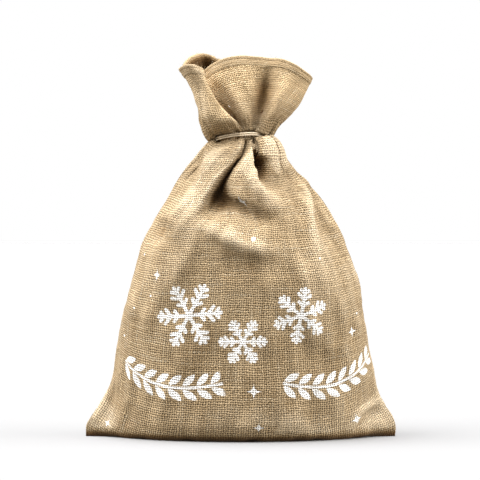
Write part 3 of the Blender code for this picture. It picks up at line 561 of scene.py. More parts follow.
@dataclass
class SackForm:
    """The surface of the standing sack, as rows of points round it, from the bottom fold to the hem."""

    flat_width: float = 350.0
    settles_between: tuple = (60.0, 160.0)  # the runs over which the base's curve grows into the walls
    settled: tuple = (0.72, 1.0)
    gathers_from: float = 300.0  # the run at which the pleats begin to draw together
    gathers_late: float = 1.75
    shallow_at_tie: float = 0.4  # how much of its depth a pleat keeps at the tie
    most_hidden: float = 0.38  # the share of a lobe that is tucked away at either end
    hides_from: float = 350.0
    gentle: float = 1.3  # how soon a pleat's right side rises out of it
    crown_width: float = 7.0  # a lobe's width for each millimetre of its crown
    most_crown: float = 4.0
    crowns_from: float = 360.0
    flat_at_tie: float = 8.0  # the distance from the tie over which the folds fade
    flat_below: float = 3.0  # the height below which there are none, and over how much they grow
    grows_over: float = 14.0
    slants_from: float = 380.0  # the run from which the rows follow the tie's slant
    mouth_length: float = 100.0
    mouth_puff: float = 6.0
    front_puff: float = 6.0
    lip_above: float = 1.8  # how much lower the lip above the tie is than the one below
    lobe_round: float = 42.0  # the roll's foot bulges forward and hangs over the tie
    lobe_reach: float = 42.0
    lobe_climb: float = 0.17
    lobe_tall: float = 0.14
    lobe_hangs: float = 6.5
    hem_depth: float = 12.2
    columns: int = 352
    finer_at: tuple = ((0.13, 1.1, 0.07), (0.0, 1.5, 0.006), (0.5, 1.5, 0.006))  # share round, more, reach
    outline_samples: int = 1440
    tie: TiePath = field(default_factory=TiePath)

    @property
    def girth(self) -> float:
        """Returns the flat distance all the way round."""
        return 2 * self.flat_width

    def rounds(self) -> np.ndarray:
        """Finds where the columns lie: alike on both faces, and closer together at the seams and folds.

        Returns:
            The round of each column, rising from 0.
        """
        even = np.linspace(0, 0.5, 1001)
        weight = np.ones(len(even))
        for place, more, reach in self.finer_at:
            weight = weight + more * bump(even - place, reach)
        total = np.concatenate([[0], np.cumsum((weight[1:] + weight[:-1]) / 2)])
        half = self.columns // 2
        front = np.interp(np.arange(half + 1) / half, total / total[-1], even) * self.girth
        return np.concatenate([front, self.girth - front[-2:0:-1]])

    def outline(self, run: float) -> tuple[np.ndarray, np.ndarray, float]:
        """Works out the smooth outline of the sack at a run.

        Args:
            run: The distance up the middle of a face.

        Returns:
            Points round the outline, the share of its length at each, and its length.
        """
        level = smooth_curve([run], [row.run for row in LEVELS], [row[1:] for row in LEVELS])[0]
        seam_z, left_x, right_x, front_y, front_z, back_y, back_z, pinch = level
        angle = np.linspace(0, TAU, self.outline_samples + 1)
        is_front = angle <= math.pi
        bulge = np.abs(np.sin(angle))
        x = (left_x + right_x) / 2 - (right_x - left_x) / 2 * np.cos(angle)
        y = np.where(is_front, front_y, back_y) * bulge**pinch
        middle_z = np.where(is_front, front_z, back_z)
        settles_at = np.interp(run, self.settles_between, self.settled)
        z = seam_z + (middle_z - seam_z) * ease((bulge / settles_at) ** 0.9)
        points = np.stack([x, y, z], axis=1)
        length = lengths_along(points)
        return points, length / length[-1], float(length[-1])

    @staticmethod
    def along(share: np.ndarray, shares: np.ndarray, points: np.ndarray) -> np.ndarray:
        """Reads an outline.

        Args:
            share: The places to read, as shares of the way round.
            shares: The share at each of the outline's points.
            points: The outline's points.

        Returns:
            A point for each place.
        """
        return read_line(np.mod(share, 1.0), shares, points)

    @staticmethod
    def cloth_between(hidden: float, t: np.ndarray) -> np.ndarray:
        """Finds how far across a lobe each column lies where part of the cloth is tucked away at either end.

        Args:
            hidden: The share of the cloth that is tucked away at each end.
            t: The columns' places across the flat cloth of the lobe, from 0 to 1.

        Returns:
            Their places across the lobe as it is seen, from 0 to 1.
        """
        place = np.linspace(0, 1, 241)
        soft = 0.03
        shown = 1 / ((1 + np.exp((hidden - place) / soft)) * (1 + np.exp((place - 1 + hidden) / soft)))
        tucks = ease(hidden / 0.1)
        speed = (0.04 + shown) * tucks + (1 - tucks)
        travelled = np.concatenate([[0], np.cumsum((speed[1:] + speed[:-1]) / 2)])
        return np.interp(t, place, travelled / travelled[-1])

    def gather(self, run: float, columns: np.ndarray, length: float) -> tuple[np.ndarray, np.ndarray]:
        """Draws the cloth in to its pleats.

        Args:
            run: The row's distance up the cloth.
            columns: The round of each column.
            length: The length of the outline at that run.

        Returns:
            The share of the way round the outline at which each column lies, and how deep below it.
        """
        towards_neck = np.clip((run - self.gathers_from) / (NECK_RUN - self.gathers_from), 0, 1)
        towards_neck = towards_neck**self.gathers_late
        shares = [p.round / self.girth + (p.neck_share - p.round / self.girth) * towards_neck for p in PLEATS]
        kept = self.shallow_at_tie + (1 - self.shallow_at_tie) * ease((NECK_RUN - run) / 22.0)
        depths = [p.depth * ease((run - p.foot) / p.deepens_over) * kept for p in PLEATS]
        share, depth = np.zeros(len(columns)), np.zeros(len(columns))
        for here, pleat in enumerate(PLEATS):
            there = (here + 1) % len(PLEATS)
            wrap = 1.0 if there == 0 else 0.0
            flat = PLEATS[there].round + wrap * self.girth - pleat.round
            across = shares[there] + wrap - shares[here]
            seen = across * length
            hidden = np.clip((flat - seen) / flat / 2, 0, self.most_hidden)
            hidden = hidden * ease((run - self.hides_from) / 50)
            between = np.mod(columns - pleat.round, self.girth) / flat
            inside = between < 1
            gone = self.cloth_between(hidden, between[inside])
            share[inside] = shares[here] + across * gone
            from_valley = np.exp(-gone * seen / pleat.slope * self.gentle)
            to_valley = bump((1 - gone) * seen, PLEATS[there].lip)
            depth[inside] = depths[here] * from_valley + depths[there] * to_valley
            crown = min(seen / self.crown_width, self.most_crown)
            crown = crown * ease((run - self.crowns_from) / 40) * ease((NECK_RUN - run) / 18)
            depth[inside] -= crown * np.sin(math.pi * gone) ** 1.4
        return share, depth

    @staticmethod
    def fold_rise(fold: Fold, x: np.ndarray, z: np.ndarray) -> np.ndarray:
        """Finds how far a fold moves the cloth.

        Args:
            fold: The fold.
            x: The places' distances to the right, as seen from the fold's face.
            z: Their heights.

        Returns:
            The rise at each place.
        """
        path = np.array(fold.path, float)
        knots = lengths_along(path[:, :2])
        at = np.linspace(0, knots[-1], int(knots[-1]) + 2)
        gap = np.clip(np.searchsorted(knots, at, side="right") - 1, 0, len(path) - 2)
        samples = hermite(at, knots, path, np.gradient(path, knots, axis=0), gap)
        heading = unit(np.gradient(samples[:, :2], axis=0))
        away_x = x[:, None] - samples[None, :, 0]
        away_z = z[:, None] - samples[None, :, 1]
        nearest = np.argmin(away_x**2 + away_z**2, axis=1)
        each = np.arange(len(x))
        distance = np.hypot(away_x[each, nearest], away_z[each, nearest])
        cross = heading[nearest, 0] * away_z[each, nearest] - heading[nearest, 1] * away_x[each, nearest]
        is_left = (cross > 0) != (heading[nearest, 1] < 0)
        reach = np.where(is_left, samples[nearest, 3], samples[nearest, 4])
        abrupt = np.where(is_left, fold.edge, fold.far_edge)
        return samples[nearest, 2] * np.exp(-((distance / reach) ** abrupt))

    def rises(self, folds: list[Fold], points: np.ndarray, columns: np.ndarray) -> np.ndarray:
        """Adds up what several folds do to a row.

        Args:
            folds: The folds.
            points: The row's points.
            columns: The round of each point.

        Returns:
            The rise at each point.
        """
        rise = np.zeros(len(points))
        for fold in folds:
            first, last, soft = fold.part.value
            heights = [point.z for point in fold.path]
            inside = (columns >= first) & (columns <= last)
            inside &= (points[:, 2] > min(heights) - 40) & (points[:, 2] < max(heights) + 25)
            if inside.any():
                share = ease((columns[inside] - first) / soft) * ease((last - columns[inside]) / soft)
                rise[inside] += share * self.fold_rise(fold, points[inside, 0], points[inside, 2])
        return rise

    def body_row(self, run: float, columns: np.ndarray) -> tuple[np.ndarray, np.ndarray]:
        """Works out one row of the cloth from the floor to the tie.

        Args:
            run: The row's distance up the cloth.
            columns: The round of each column.

        Returns:
            The row's points, and how deep each lies below the smooth outline.
        """
        points, shares, length = self.outline(run)
        share, depth = self.gather(run, columns, length)
        place = self.along(share, shares, points)
        tangent = self.along(share + 0.004, shares, points) - self.along(share - 0.004, shares, points)
        tangent[:, 2] = 0
        tangent = unit(tangent)
        inward = np.stack([-tangent[:, 1], tangent[:, 0], np.zeros(len(tangent))], axis=1)
        at_tie = ease((NECK_RUN - run) / self.flat_at_tie)
        above_floor = ease((place[:, 2] - self.flat_below) / self.grows_over)
        rise = self.rises(FOLDS, place, columns) * at_tie * above_floor
        lean = self.rises(OVERHANGS, place, columns) * at_tie
        place += inward * (depth - rise)[:, None] + tangent * lean[:, None]
        place[:, 2] += self.tie.lift(share) * ease((run - self.slants_from) / (NECK_RUN - self.slants_from))
        out, over = self.tie.lips(NECK_RUN - run, columns)
        place[:, :2] += unit(place[:, :2]) * out[:, None]
        place[:, 2] += over
        return place, depth - rise

    def mouth_row(
        self, climb: np.ndarray | float, columns: np.ndarray, neck_row: np.ndarray, with_lips: bool = False
    ) -> tuple[np.ndarray, np.ndarray]:
        """Works out one row of the mouth.

        Args:
            climb: How far up it is, from 0 at the tie's groove to 1 at the hem, as one or for each column.
            columns: The round of each column.
            neck_row: The points at the top of the groove.
            with_lips: Whether the row closes over the tie, as the outside does.

        Returns:
            The row's points, and how deep each lies below the smooth outline, with the tuck beside the roll
            counted wider to widen its painted shade.
        """
        climb = np.broadcast_to(climb, columns.shape)
        hem = closed_curve(columns, [p.round for p in HEM], [p[1:] for p in HEM], self.girth)
        left, right, front, back = smooth_curve(climb, [s.climb for s in SPREADS], [s[1:] for s in SPREADS]).T
        outward = unit(neck_row[:, :2])
        sideways = np.where(outward[:, 0] < 0, left, right)
        forwards = np.where(outward[:, 1] < 0, front, back)
        opened = sideways * outward[:, 0] ** 2 + forwards * outward[:, 1] ** 2
        row = neck_row + (hem - neck_row) * opened[:, None]
        row[:, 2] = neck_row[:, 2] * (1 - climb) + hem[:, 2] * climb
        puff = np.sin(math.pi * climb**0.55) ** 1.2 * (self.mouth_puff + self.front_puff * outward[:, 1] ** 2)
        row[:, :2] += outward * puff[:, None]
        rise = self.rises(FOLDS, row, columns) * ease(climb / 0.1)
        row[:, 1] -= np.where(columns < self.flat_width, rise, -rise)
        lobe = bump(columns - self.lobe_round, self.lobe_reach)
        row[:, 1] -= self.lobe_hangs * (lobe * bump(climb - self.lobe_climb, self.lobe_tall))
        tucks = smooth_curve(climb, [t.climb for t in ROLL_TUCK], [t[1:] for t in ROLL_TUCK])
        middle, reach, sideways, inwards = tucks.T
        tucked = bump((columns - middle) / reach, 1.0)
        row[:, 0] += sideways * tucked
        row[:, 1] += inwards * tucked
        if with_lips:
            out, over = self.tie.lips(climb * self.mouth_length * self.lip_above, columns)
            row[:, :2] += outward * out[:, None]
            row[:, 2] -= over
        # the tuck counts wider than it lies, to widen the painted shade beside the roll
        return row, inwards * np.sqrt(tucked) - rise


GATHER_RUN = 300.0  # above it the gathers take up spare cloth
LEAST_SPARE = 0.06  # the share of the spare cloth that is laid where there is no fold
FULL_SPARE_DEPTH = 6.0  # and the depth of a fold that takes all that it can


@dataclass
class ClothGrid:
    """Rows of points over the cloth, each with its place on the flat cloth."""

    points: np.ndarray  # rows by columns by three, in millimetres
    sunk: np.ndarray  # how deep each point lies below the smooth outline, which also sets its painted shade; inside the mouth, the depth that its painted shade counts as
    rounds: np.ndarray
    runs: np.ndarray

    def normals(self) -> np.ndarray:
        """Finds which way the cloth faces.

        Returns:
            The outward direction at every point.
        """
        across = np.roll(self.points, -1, axis=1) - np.roll(self.points, 1, axis=1)
        up = np.gradient(self.points, axis=0)
        return unit(np.cross(across, up))

    def woven_rounds(self, width: float) -> np.ndarray:
        """Lays the cloth out again where folds would stretch it, with cloth out of the gathers beside them.

        Args:
            width: The flat width of one face, whose edges keep their place.

        Returns:
            For every row, the round at each column, and at last the whole way round.
        """
        flat = np.diff(np.append(self.rounds, 2 * width))
        woven = np.zeros((len(self.runs), len(self.rounds) + 1))
        around = np.linalg.norm(np.roll(self.points, -1, axis=1) - self.points, axis=2)
        for row, (run, length) in enumerate(zip(self.runs, around)):
            laid = flat.copy()
            in_fold = LEAST_SPARE + np.clip(self.sunk[row] / FULL_SPARE_DEPTH, 0, 1)
            for face in (self.rounds < width, self.rounds >= width):
                spare = np.maximum(flat[face] - length[face], 0.0) * in_fold[face]
                left_over = width - length[face].sum()
                if left_over > 0:
                    laid[face] = length[face] + spare * left_over / spare.sum()
            laid = flat + (laid - flat) * ease((run - GATHER_RUN) / 50)
            woven[row, 1:] = np.cumsum(laid)
        return woven

    def woven_runs(self, from_run: float) -> np.ndarray:
        """Measures the cloth down each column, so that the weave stays even at the drawn-in corners.

        Args:
            from_run: The run below which the cloth is measured.

        Returns:
            The run at every point.
        """
        lengths = np.linalg.norm(np.diff(self.points, axis=0), axis=2)
        woven = np.repeat(self.runs[:, None], len(self.rounds), axis=1)
        for row in range(int((self.runs < from_run).sum()) - 1, -1, -1):
            woven[row] = woven[row + 1] - lengths[row]
        return woven

    def push(self, distance: np.ndarray) -> None:
        """Moves every point outwards.

        Args:
            distance: How far, for every point.
        """
        self.points += self.normals() * distance[:, :, None]


# --------------------------------------------------------------------------------------------------
# Shader maths
# --------------------------------------------------------------------------------------------------


class Field:
    """A number that varies over a surface, so that shader maths reads as plain arithmetic."""

    def __init__(self, board: "Board", socket: bpy.types.NodeSocket) -> None:
        """Wraps a node's output socket on its board."""
        self.board = board
        self.socket = socket

    def _with(self, operation: str, *others: "Field | float") -> "Field":
        """Returns a Math node's result with this field as its first number."""
        return self.board.maths(operation, self, *others)

    def __add__(self, other: "Field | float") -> "Field":
        """Returns the sum."""
        return self._with("ADD", other)

    __radd__ = __add__

    def __sub__(self, other: "Field | float") -> "Field":
        """Returns the difference."""
        return self._with("SUBTRACT", other)

    def __rsub__(self, other: float) -> "Field":
        """Returns the difference from a plain number."""
        return self.board.maths("SUBTRACT", other, self)

    def __mul__(self, other: "Field | float") -> "Field":
        """Returns the product."""
        return self._with("MULTIPLY", other)

    __rmul__ = __mul__

    def __truediv__(self, other: "Field | float") -> "Field":
        """Returns the quotient."""
        return self._with("DIVIDE", other)

    def __abs__(self) -> "Field":
        """Returns the size without its sign."""
        return self._with("ABSOLUTE")

    def floor(self) -> "Field":
        """Returns the whole number below."""
        return self._with("FLOOR")

    def fraction(self) -> "Field":
        """Returns what is above the whole number below."""
        return self._with("FRACT")

    def cosine(self) -> "Field":
        """Returns the cosine."""
        return self._with("COSINE")

    def sine(self) -> "Field":
        """Returns the sine."""
        return self._with("SINE")

    def root(self) -> "Field":
        """Returns the square root."""
        return self._with("SQRT")

    def least(self, other: "Field | float") -> "Field":
        """Returns the smaller of two."""
        return self._with("MINIMUM", other)

    def most(self, other: "Field | float") -> "Field":
        """Returns the larger of two."""
        return self._with("MAXIMUM", other)

    def above(self, other: "Field | float") -> "Field":
        """Returns 1 where this is the larger and 0 elsewhere."""
        return self._with("GREATER_THAN", other)

    def step(self, low: float, high: float) -> "Field":
        """Returns a smooth step from 0 at the low value to 1 at the high one."""
        socket = self.board.node(
            "ShaderNodeMapRange",
            {"interpolation_type": "SMOOTHSTEP"},
            {"Value": self, "From Min": low, "From Max": high},
        ).outputs["Result"]
        return Field(self.board, socket)


class Board:
    """One tree of nodes, and the few ways of adding to it."""

    def __init__(self, tree: bpy.types.NodeTree) -> None:
        """Works on that tree."""
        self.tree = tree
        self.material: bpy.types.Material | None = None
        self.shader: bpy.types.Node | None = None

    @classmethod
    def of_material(cls, name: str) -> "Board":
        """Starts a material.

        Args:
            name: The material's name.

        Returns:
            The board of a new material with a Principled shader.
        """
        material = bpy.data.materials.new(name)
        material.use_nodes = True
        board = cls(material.node_tree)
        board.material = material
        board.shader = board.tree.nodes["Principled BSDF"]
        return board

    def node(self, kind: str, settings: dict | None = None, sockets: dict | None = None) -> bpy.types.Node:
        """Adds a node.

        Args:
            kind: The node's type.
            settings: Its own settings, set before its sockets.
            sockets: For each input, by name or number, a plain value, a Field or an output socket to link.

        Returns:
            The node.
        """
        node = self.tree.nodes.new(kind)
        for name, value in (settings or {}).items():
            setattr(node, name, value)
        for name, value in (sockets or {}).items():
            self.feed(node.inputs[name], value)
        return node

    def feed(self, target: bpy.types.NodeSocket, value: object) -> None:
        """Gives an input socket its value.

        Args:
            target: The input socket.
            value: A plain value, a Field or an output socket.
        """
        source = value.socket if isinstance(value, Field) else value
        if isinstance(source, bpy.types.NodeSocket):
            self.tree.links.new(source, target)
        elif isinstance(source, tuple) and target.type == "RGBA" and len(source) == 3:
            target.default_value = (*source, 1.0)
        else:
            target.default_value = source

    def finish(self, values: dict) -> bpy.types.Material:
        """Gives the shader its inputs by name.

        Args:
            values: For each input, a plain value, a Field or an output socket to link.

        Returns:
            The finished material.
        """
        for name, value in values.items():
            self.feed(self.shader.inputs[name], value)
        return self.material

    def maths(self, operation: str, *numbers: "Field | float") -> Field:
        """Adds a Math node.

        Args:
            operation: What it works out.
            numbers: Its numbers, in order.

        Returns:
            Its result.
        """
        node = self.node("ShaderNodeMath", {"operation": operation}, dict(enumerate(numbers)))
        return Field(self, node.outputs[0])

    def blend(
        self, share: Field | float, first: object, second: object, way: str = "MIX"
    ) -> bpy.types.NodeSocket:
        """Mixes two colours.

        Args:
            share: How much of the second.
            first: A colour or colour socket.
            second: A colour or colour socket.
            way: The Mix node's blend type.

        Returns:
            The mixed colour's socket.
        """
        settings = {"data_type": "RGBA", "blend_type": way}
        return self.node("ShaderNodeMix", settings, {0: share, 6: first, 7: second}).outputs[2]

    def choose(self, share: Field, first: Field | float, second: Field | float) -> Field:
        """Returns the first number where the share is 0 and the second where it is 1."""
        node = self.node("ShaderNodeMix", {"data_type": "FLOAT"}, {0: share, 2: first, 3: second})
        return Field(self, node.outputs[0])

    def vector(self, x: Field | float, y: Field | float, z: Field | float = 0.0) -> bpy.types.NodeSocket:
        """Returns the socket of a vector made of three numbers."""
        return self.node("ShaderNodeCombineXYZ", None, {0: x, 1: y, 2: z}).outputs[0]

    def noise(
        self, place: bpy.types.NodeSocket, scale: float, detail: float = 2.0, rough: float = 0.5
    ) -> tuple[Field, Field, Field]:
        """Adds a noise texture.

        Args:
            place: Where to read it, as a vector socket.
            scale: How fine it is.
            detail: How many finer layers it has.
            rough: How strong the finer layers are.

        Returns:
            Three unlike fields, each about 0.5 on average.
        """
        sockets = {"Vector": place, "Scale": scale, "Detail": detail, "Roughness": rough}
        colour = self.node("ShaderNodeTexNoise", {"noise_dimensions": "3D"}, sockets).outputs["Color"]
        parts = self.node("ShaderNodeSeparateColor", None, {0: colour}).outputs
        return tuple(Field(self, part) for part in (parts[0], parts[1], parts[2]))

    def cloth_place(self) -> tuple[Field, Field]:
        """Reads the piece's UV map.

        Returns:
            The round and the run, in millimetres.
        """
        source = self.node("ShaderNodeUVMap", {"uv_map": CLOTH_MAP}).outputs[0]
        parts = self.node("ShaderNodeSeparateXYZ", None, {0: source}).outputs
        return Field(self, parts[0]) * FLAT_MAP_SIZE, Field(self, parts[1]) * FLAT_MAP_SIZE


CLOTH_MAP = "cloth"
PAINTED_LIGHT_AND_SHADE = "hollow"
FLAT_MAP_SIZE = 700.0  # millimetres of flat cloth to one unit of the UV map


# --------------------------------------------------------------------------------------------------
# The print
# --------------------------------------------------------------------------------------------------


class Motif(Enum):
    """The small figures of the print."""

    STAR = "four-pointed star"
    DOT = "dot"


class Mark(NamedTuple):
    """One small figure of the print, at its place on the flat cloth."""

    motif: Motif
    round: float
    run: float
    radius: float


class Flake(NamedTuple):
    """One six-armed snowflake of the print."""

    round: float
    run: float
    radius: float
    turn: float  # degrees


class Sprig(NamedTuple):
    """One leafy sprig of the print, whose stem is an arc of a circle."""

    round: float  # the middle of the circle
    run: float
    radius: float
    from_turn: float  # degrees, anticlockwise from the right
    to_turn: float
    leaf: float  # a leaf's length


FLAKES = [
    Flake(112, 214, 36, 6),
    Flake(236, 214, 30, 20),
    Flake(173, 186, 25, 0),
]

SPRIGS = [
    Sprig(105, 330, 195, 248, 284, 19),
    Sprig(262, 330, 195, 256, 292, 19),
]

MARKS = [
    Mark(Motif.STAR, 68, 256, 7.5),
    Mark(Motif.STAR, 188, 343, 7.5),
    Mark(Motif.STAR, 304, 187, 7.5),
    Mark(Motif.STAR, 298, 89, 8.0),
    Mark(Motif.STAR, 23, 69, 6.0),
    Mark(Motif.STAR, 190, 92, 6.5),
    Mark(Motif.STAR, 184, 132, 9.0),
    Mark(Motif.DOT, 188, 300, 5.4),
    Mark(Motif.DOT, 126, 467, 3.2),
    Mark(Motif.DOT, 36, 276, 2.2),
    Mark(Motif.DOT, 62, 232, 2.4),
    Mark(Motif.DOT, 40, 214, 2.2),
    Mark(Motif.DOT, 24, 176, 2.6),
    Mark(Motif.DOT, 268, 276, 2.4),
    Mark(Motif.DOT, 314, 206, 2.4),
]


@dataclass(frozen=True)
class PrintInk:
    """The cream ink: its strokes and the figures that they draw, as masks that are 1 inside."""

    stroke: float = 4.6
    soft: float = 0.5
    colour: tuple = (0.95, 0.91, 0.84)

    def inside(self, distance: Field, edge: float) -> Field:
        """Returns a mask that is 1 where the distance is under the edge."""
        return 1 - distance.step(edge - self.soft, edge + self.soft)

    def local(self, u: Field, v: Field, centre: tuple[float, float], turn: float) -> tuple[Field, Field]:
        """Moves to a figure's own middle and turn.

        Args:
            u: The round.
            v: The run.
            centre: The round and run of the figure's middle.
            turn: How far it is turned, in degrees.

        Returns:
            The distances to the right and up, as the figure sees them.
        """
        c, s = math.cos(math.radians(turn)), math.sin(math.radians(turn))
        x, y = u - centre[0], v - centre[1]
        return x * c + y * s, y * c - x * s

    def segment(self, x: Field, y: Field, start: tuple[float, float], end: tuple[float, float]) -> Field:
        """Measures how far a place is from a straight stroke.

        Args:
            x: The place's distance to the right.
            y: Its distance up.
            start: One end of the stroke.
            end: The other end.

        Returns:
            The distance.
        """
        dx, dy = end[0] - start[0], end[1] - start[1]
        length = math.hypot(dx, dy)
        along = ((x - start[0]) * (dx / length) + (y - start[1]) * (dy / length)).most(0.0).least(length)
        away_x = x - start[0] - along * (dx / length)
        away_y = y - start[1] - along * (dy / length)
        return (away_x * away_x + away_y * away_y).root()

    def flake(self, u: Field, v: Field, flake: Flake) -> Field:
        """Draws a snowflake: one half arm with three pairs of twigs, folded six times over.

        Args:
            u: The round.
            v: The run.
            flake: Its place and size.

        Returns:
            Its mask.
        """
        x, y = self.local(u, v, (flake.round, flake.run), flake.turn)
        reach = (x * x + y * y).root()
        turn = x.board.maths("ARCTAN2", y, x)
        folded = x.board.maths("PINGPONG", turn, math.pi / 6)
        along, aside = reach * folded.cosine(), reach * folded.sine()
        distance = self.segment(along, aside, (0.0, 0.0), (flake.radius, 0.0))
        for place, size in ((0.36, 0.20), (0.60, 0.27), (0.82, 0.17)):
            root = (flake.radius * place, 0.0)
            tip = (root[0] + flake.radius * size * 0.62, flake.radius * size * 0.78)
            distance = distance.least(self.segment(along, aside, root, tip))
        return self.inside(distance, self.stroke * 0.42 * (flake.radius / 34) ** 0.5)

    def sprig(self, u: Field, v: Field, sprig: Sprig) -> Field:
        """Draws a sprig: an arc for its stem and pairs of pointed leaves along it.

        Args:
            u: The round.
            v: The run.
            sprig: Its place and size.

        Returns:
            Its mask.
        """
        x, y = u - sprig.round, v - sprig.run
        reach = (x * x + y * y).root()
        turn = x.board.maths("ARCTAN2", y, x)
        turn = (turn + TAU) - (turn.above(0.0) * TAU)
        along = (turn - math.radians(sprig.from_turn)) * sprig.radius
        total = math.radians(sprig.to_turn - sprig.from_turn) * sprig.radius
        off = abs(reach - sprig.radius)
        within = along.step(-1, 1) * (1 - along.step(total - 1, total + 1))
        stem = self.inside(off, self.stroke * 0.3) * within
        gap = sprig.leaf * 0.82
        number = (along / gap).floor()
        near = (along - number * gap) - gap * 0.55
        lean = math.radians(38)
        leaf_x = near * math.cos(lean) + (off - sprig.leaf * 0.42) * math.sin(lean)
        leaf_y = (off - sprig.leaf * 0.42) * math.cos(lean) - near * math.sin(lean)
        long = leaf_x / (sprig.leaf * 0.5)
        wide = abs(leaf_y) / (sprig.leaf * 0.2)
        leaf = 1 - (wide + long * long).step(0.9, 1.1)
        inner = along.step(0, 2) * (1 - along.step(total - 3, total + 1))
        return stem.most(leaf * inner)

    def mark(self, u: Field, v: Field, mark: Mark) -> Field:
        """Draws a star or a dot.

        Args:
            u: The round.
            v: The run.
            mark: Its kind, place and size.

        Returns:
            Its mask.
        """
        x, y = u - mark.round, v - mark.run
        if mark.motif is Motif.DOT:
            return self.inside((x * x + y * y).root(), mark.radius / 2)
        spread = abs(x).root() + abs(y).root()
        return 1 - (spread * spread).step(mark.radius * 0.85, mark.radius * 1.15)

    def cover(self, u: Field, v: Field) -> Field:
        """Draws the whole print.

        Args:
            u: The round.
            v: The run.

        Returns:
            The print's mask.
        """
        masks = [self.flake(u, v, flake) for flake in FLAKES]
        masks += [self.sprig(u, v, sprig) for sprig in SPRIGS]
        masks += [self.mark(u, v, mark) for mark in MARKS]
        whole = masks[0]
        for mask in masks[1:]:
            whole = whole.most(mask)
        return whole


# --------------------------------------------------------------------------------------------------
# Finishes
# --------------------------------------------------------------------------------------------------


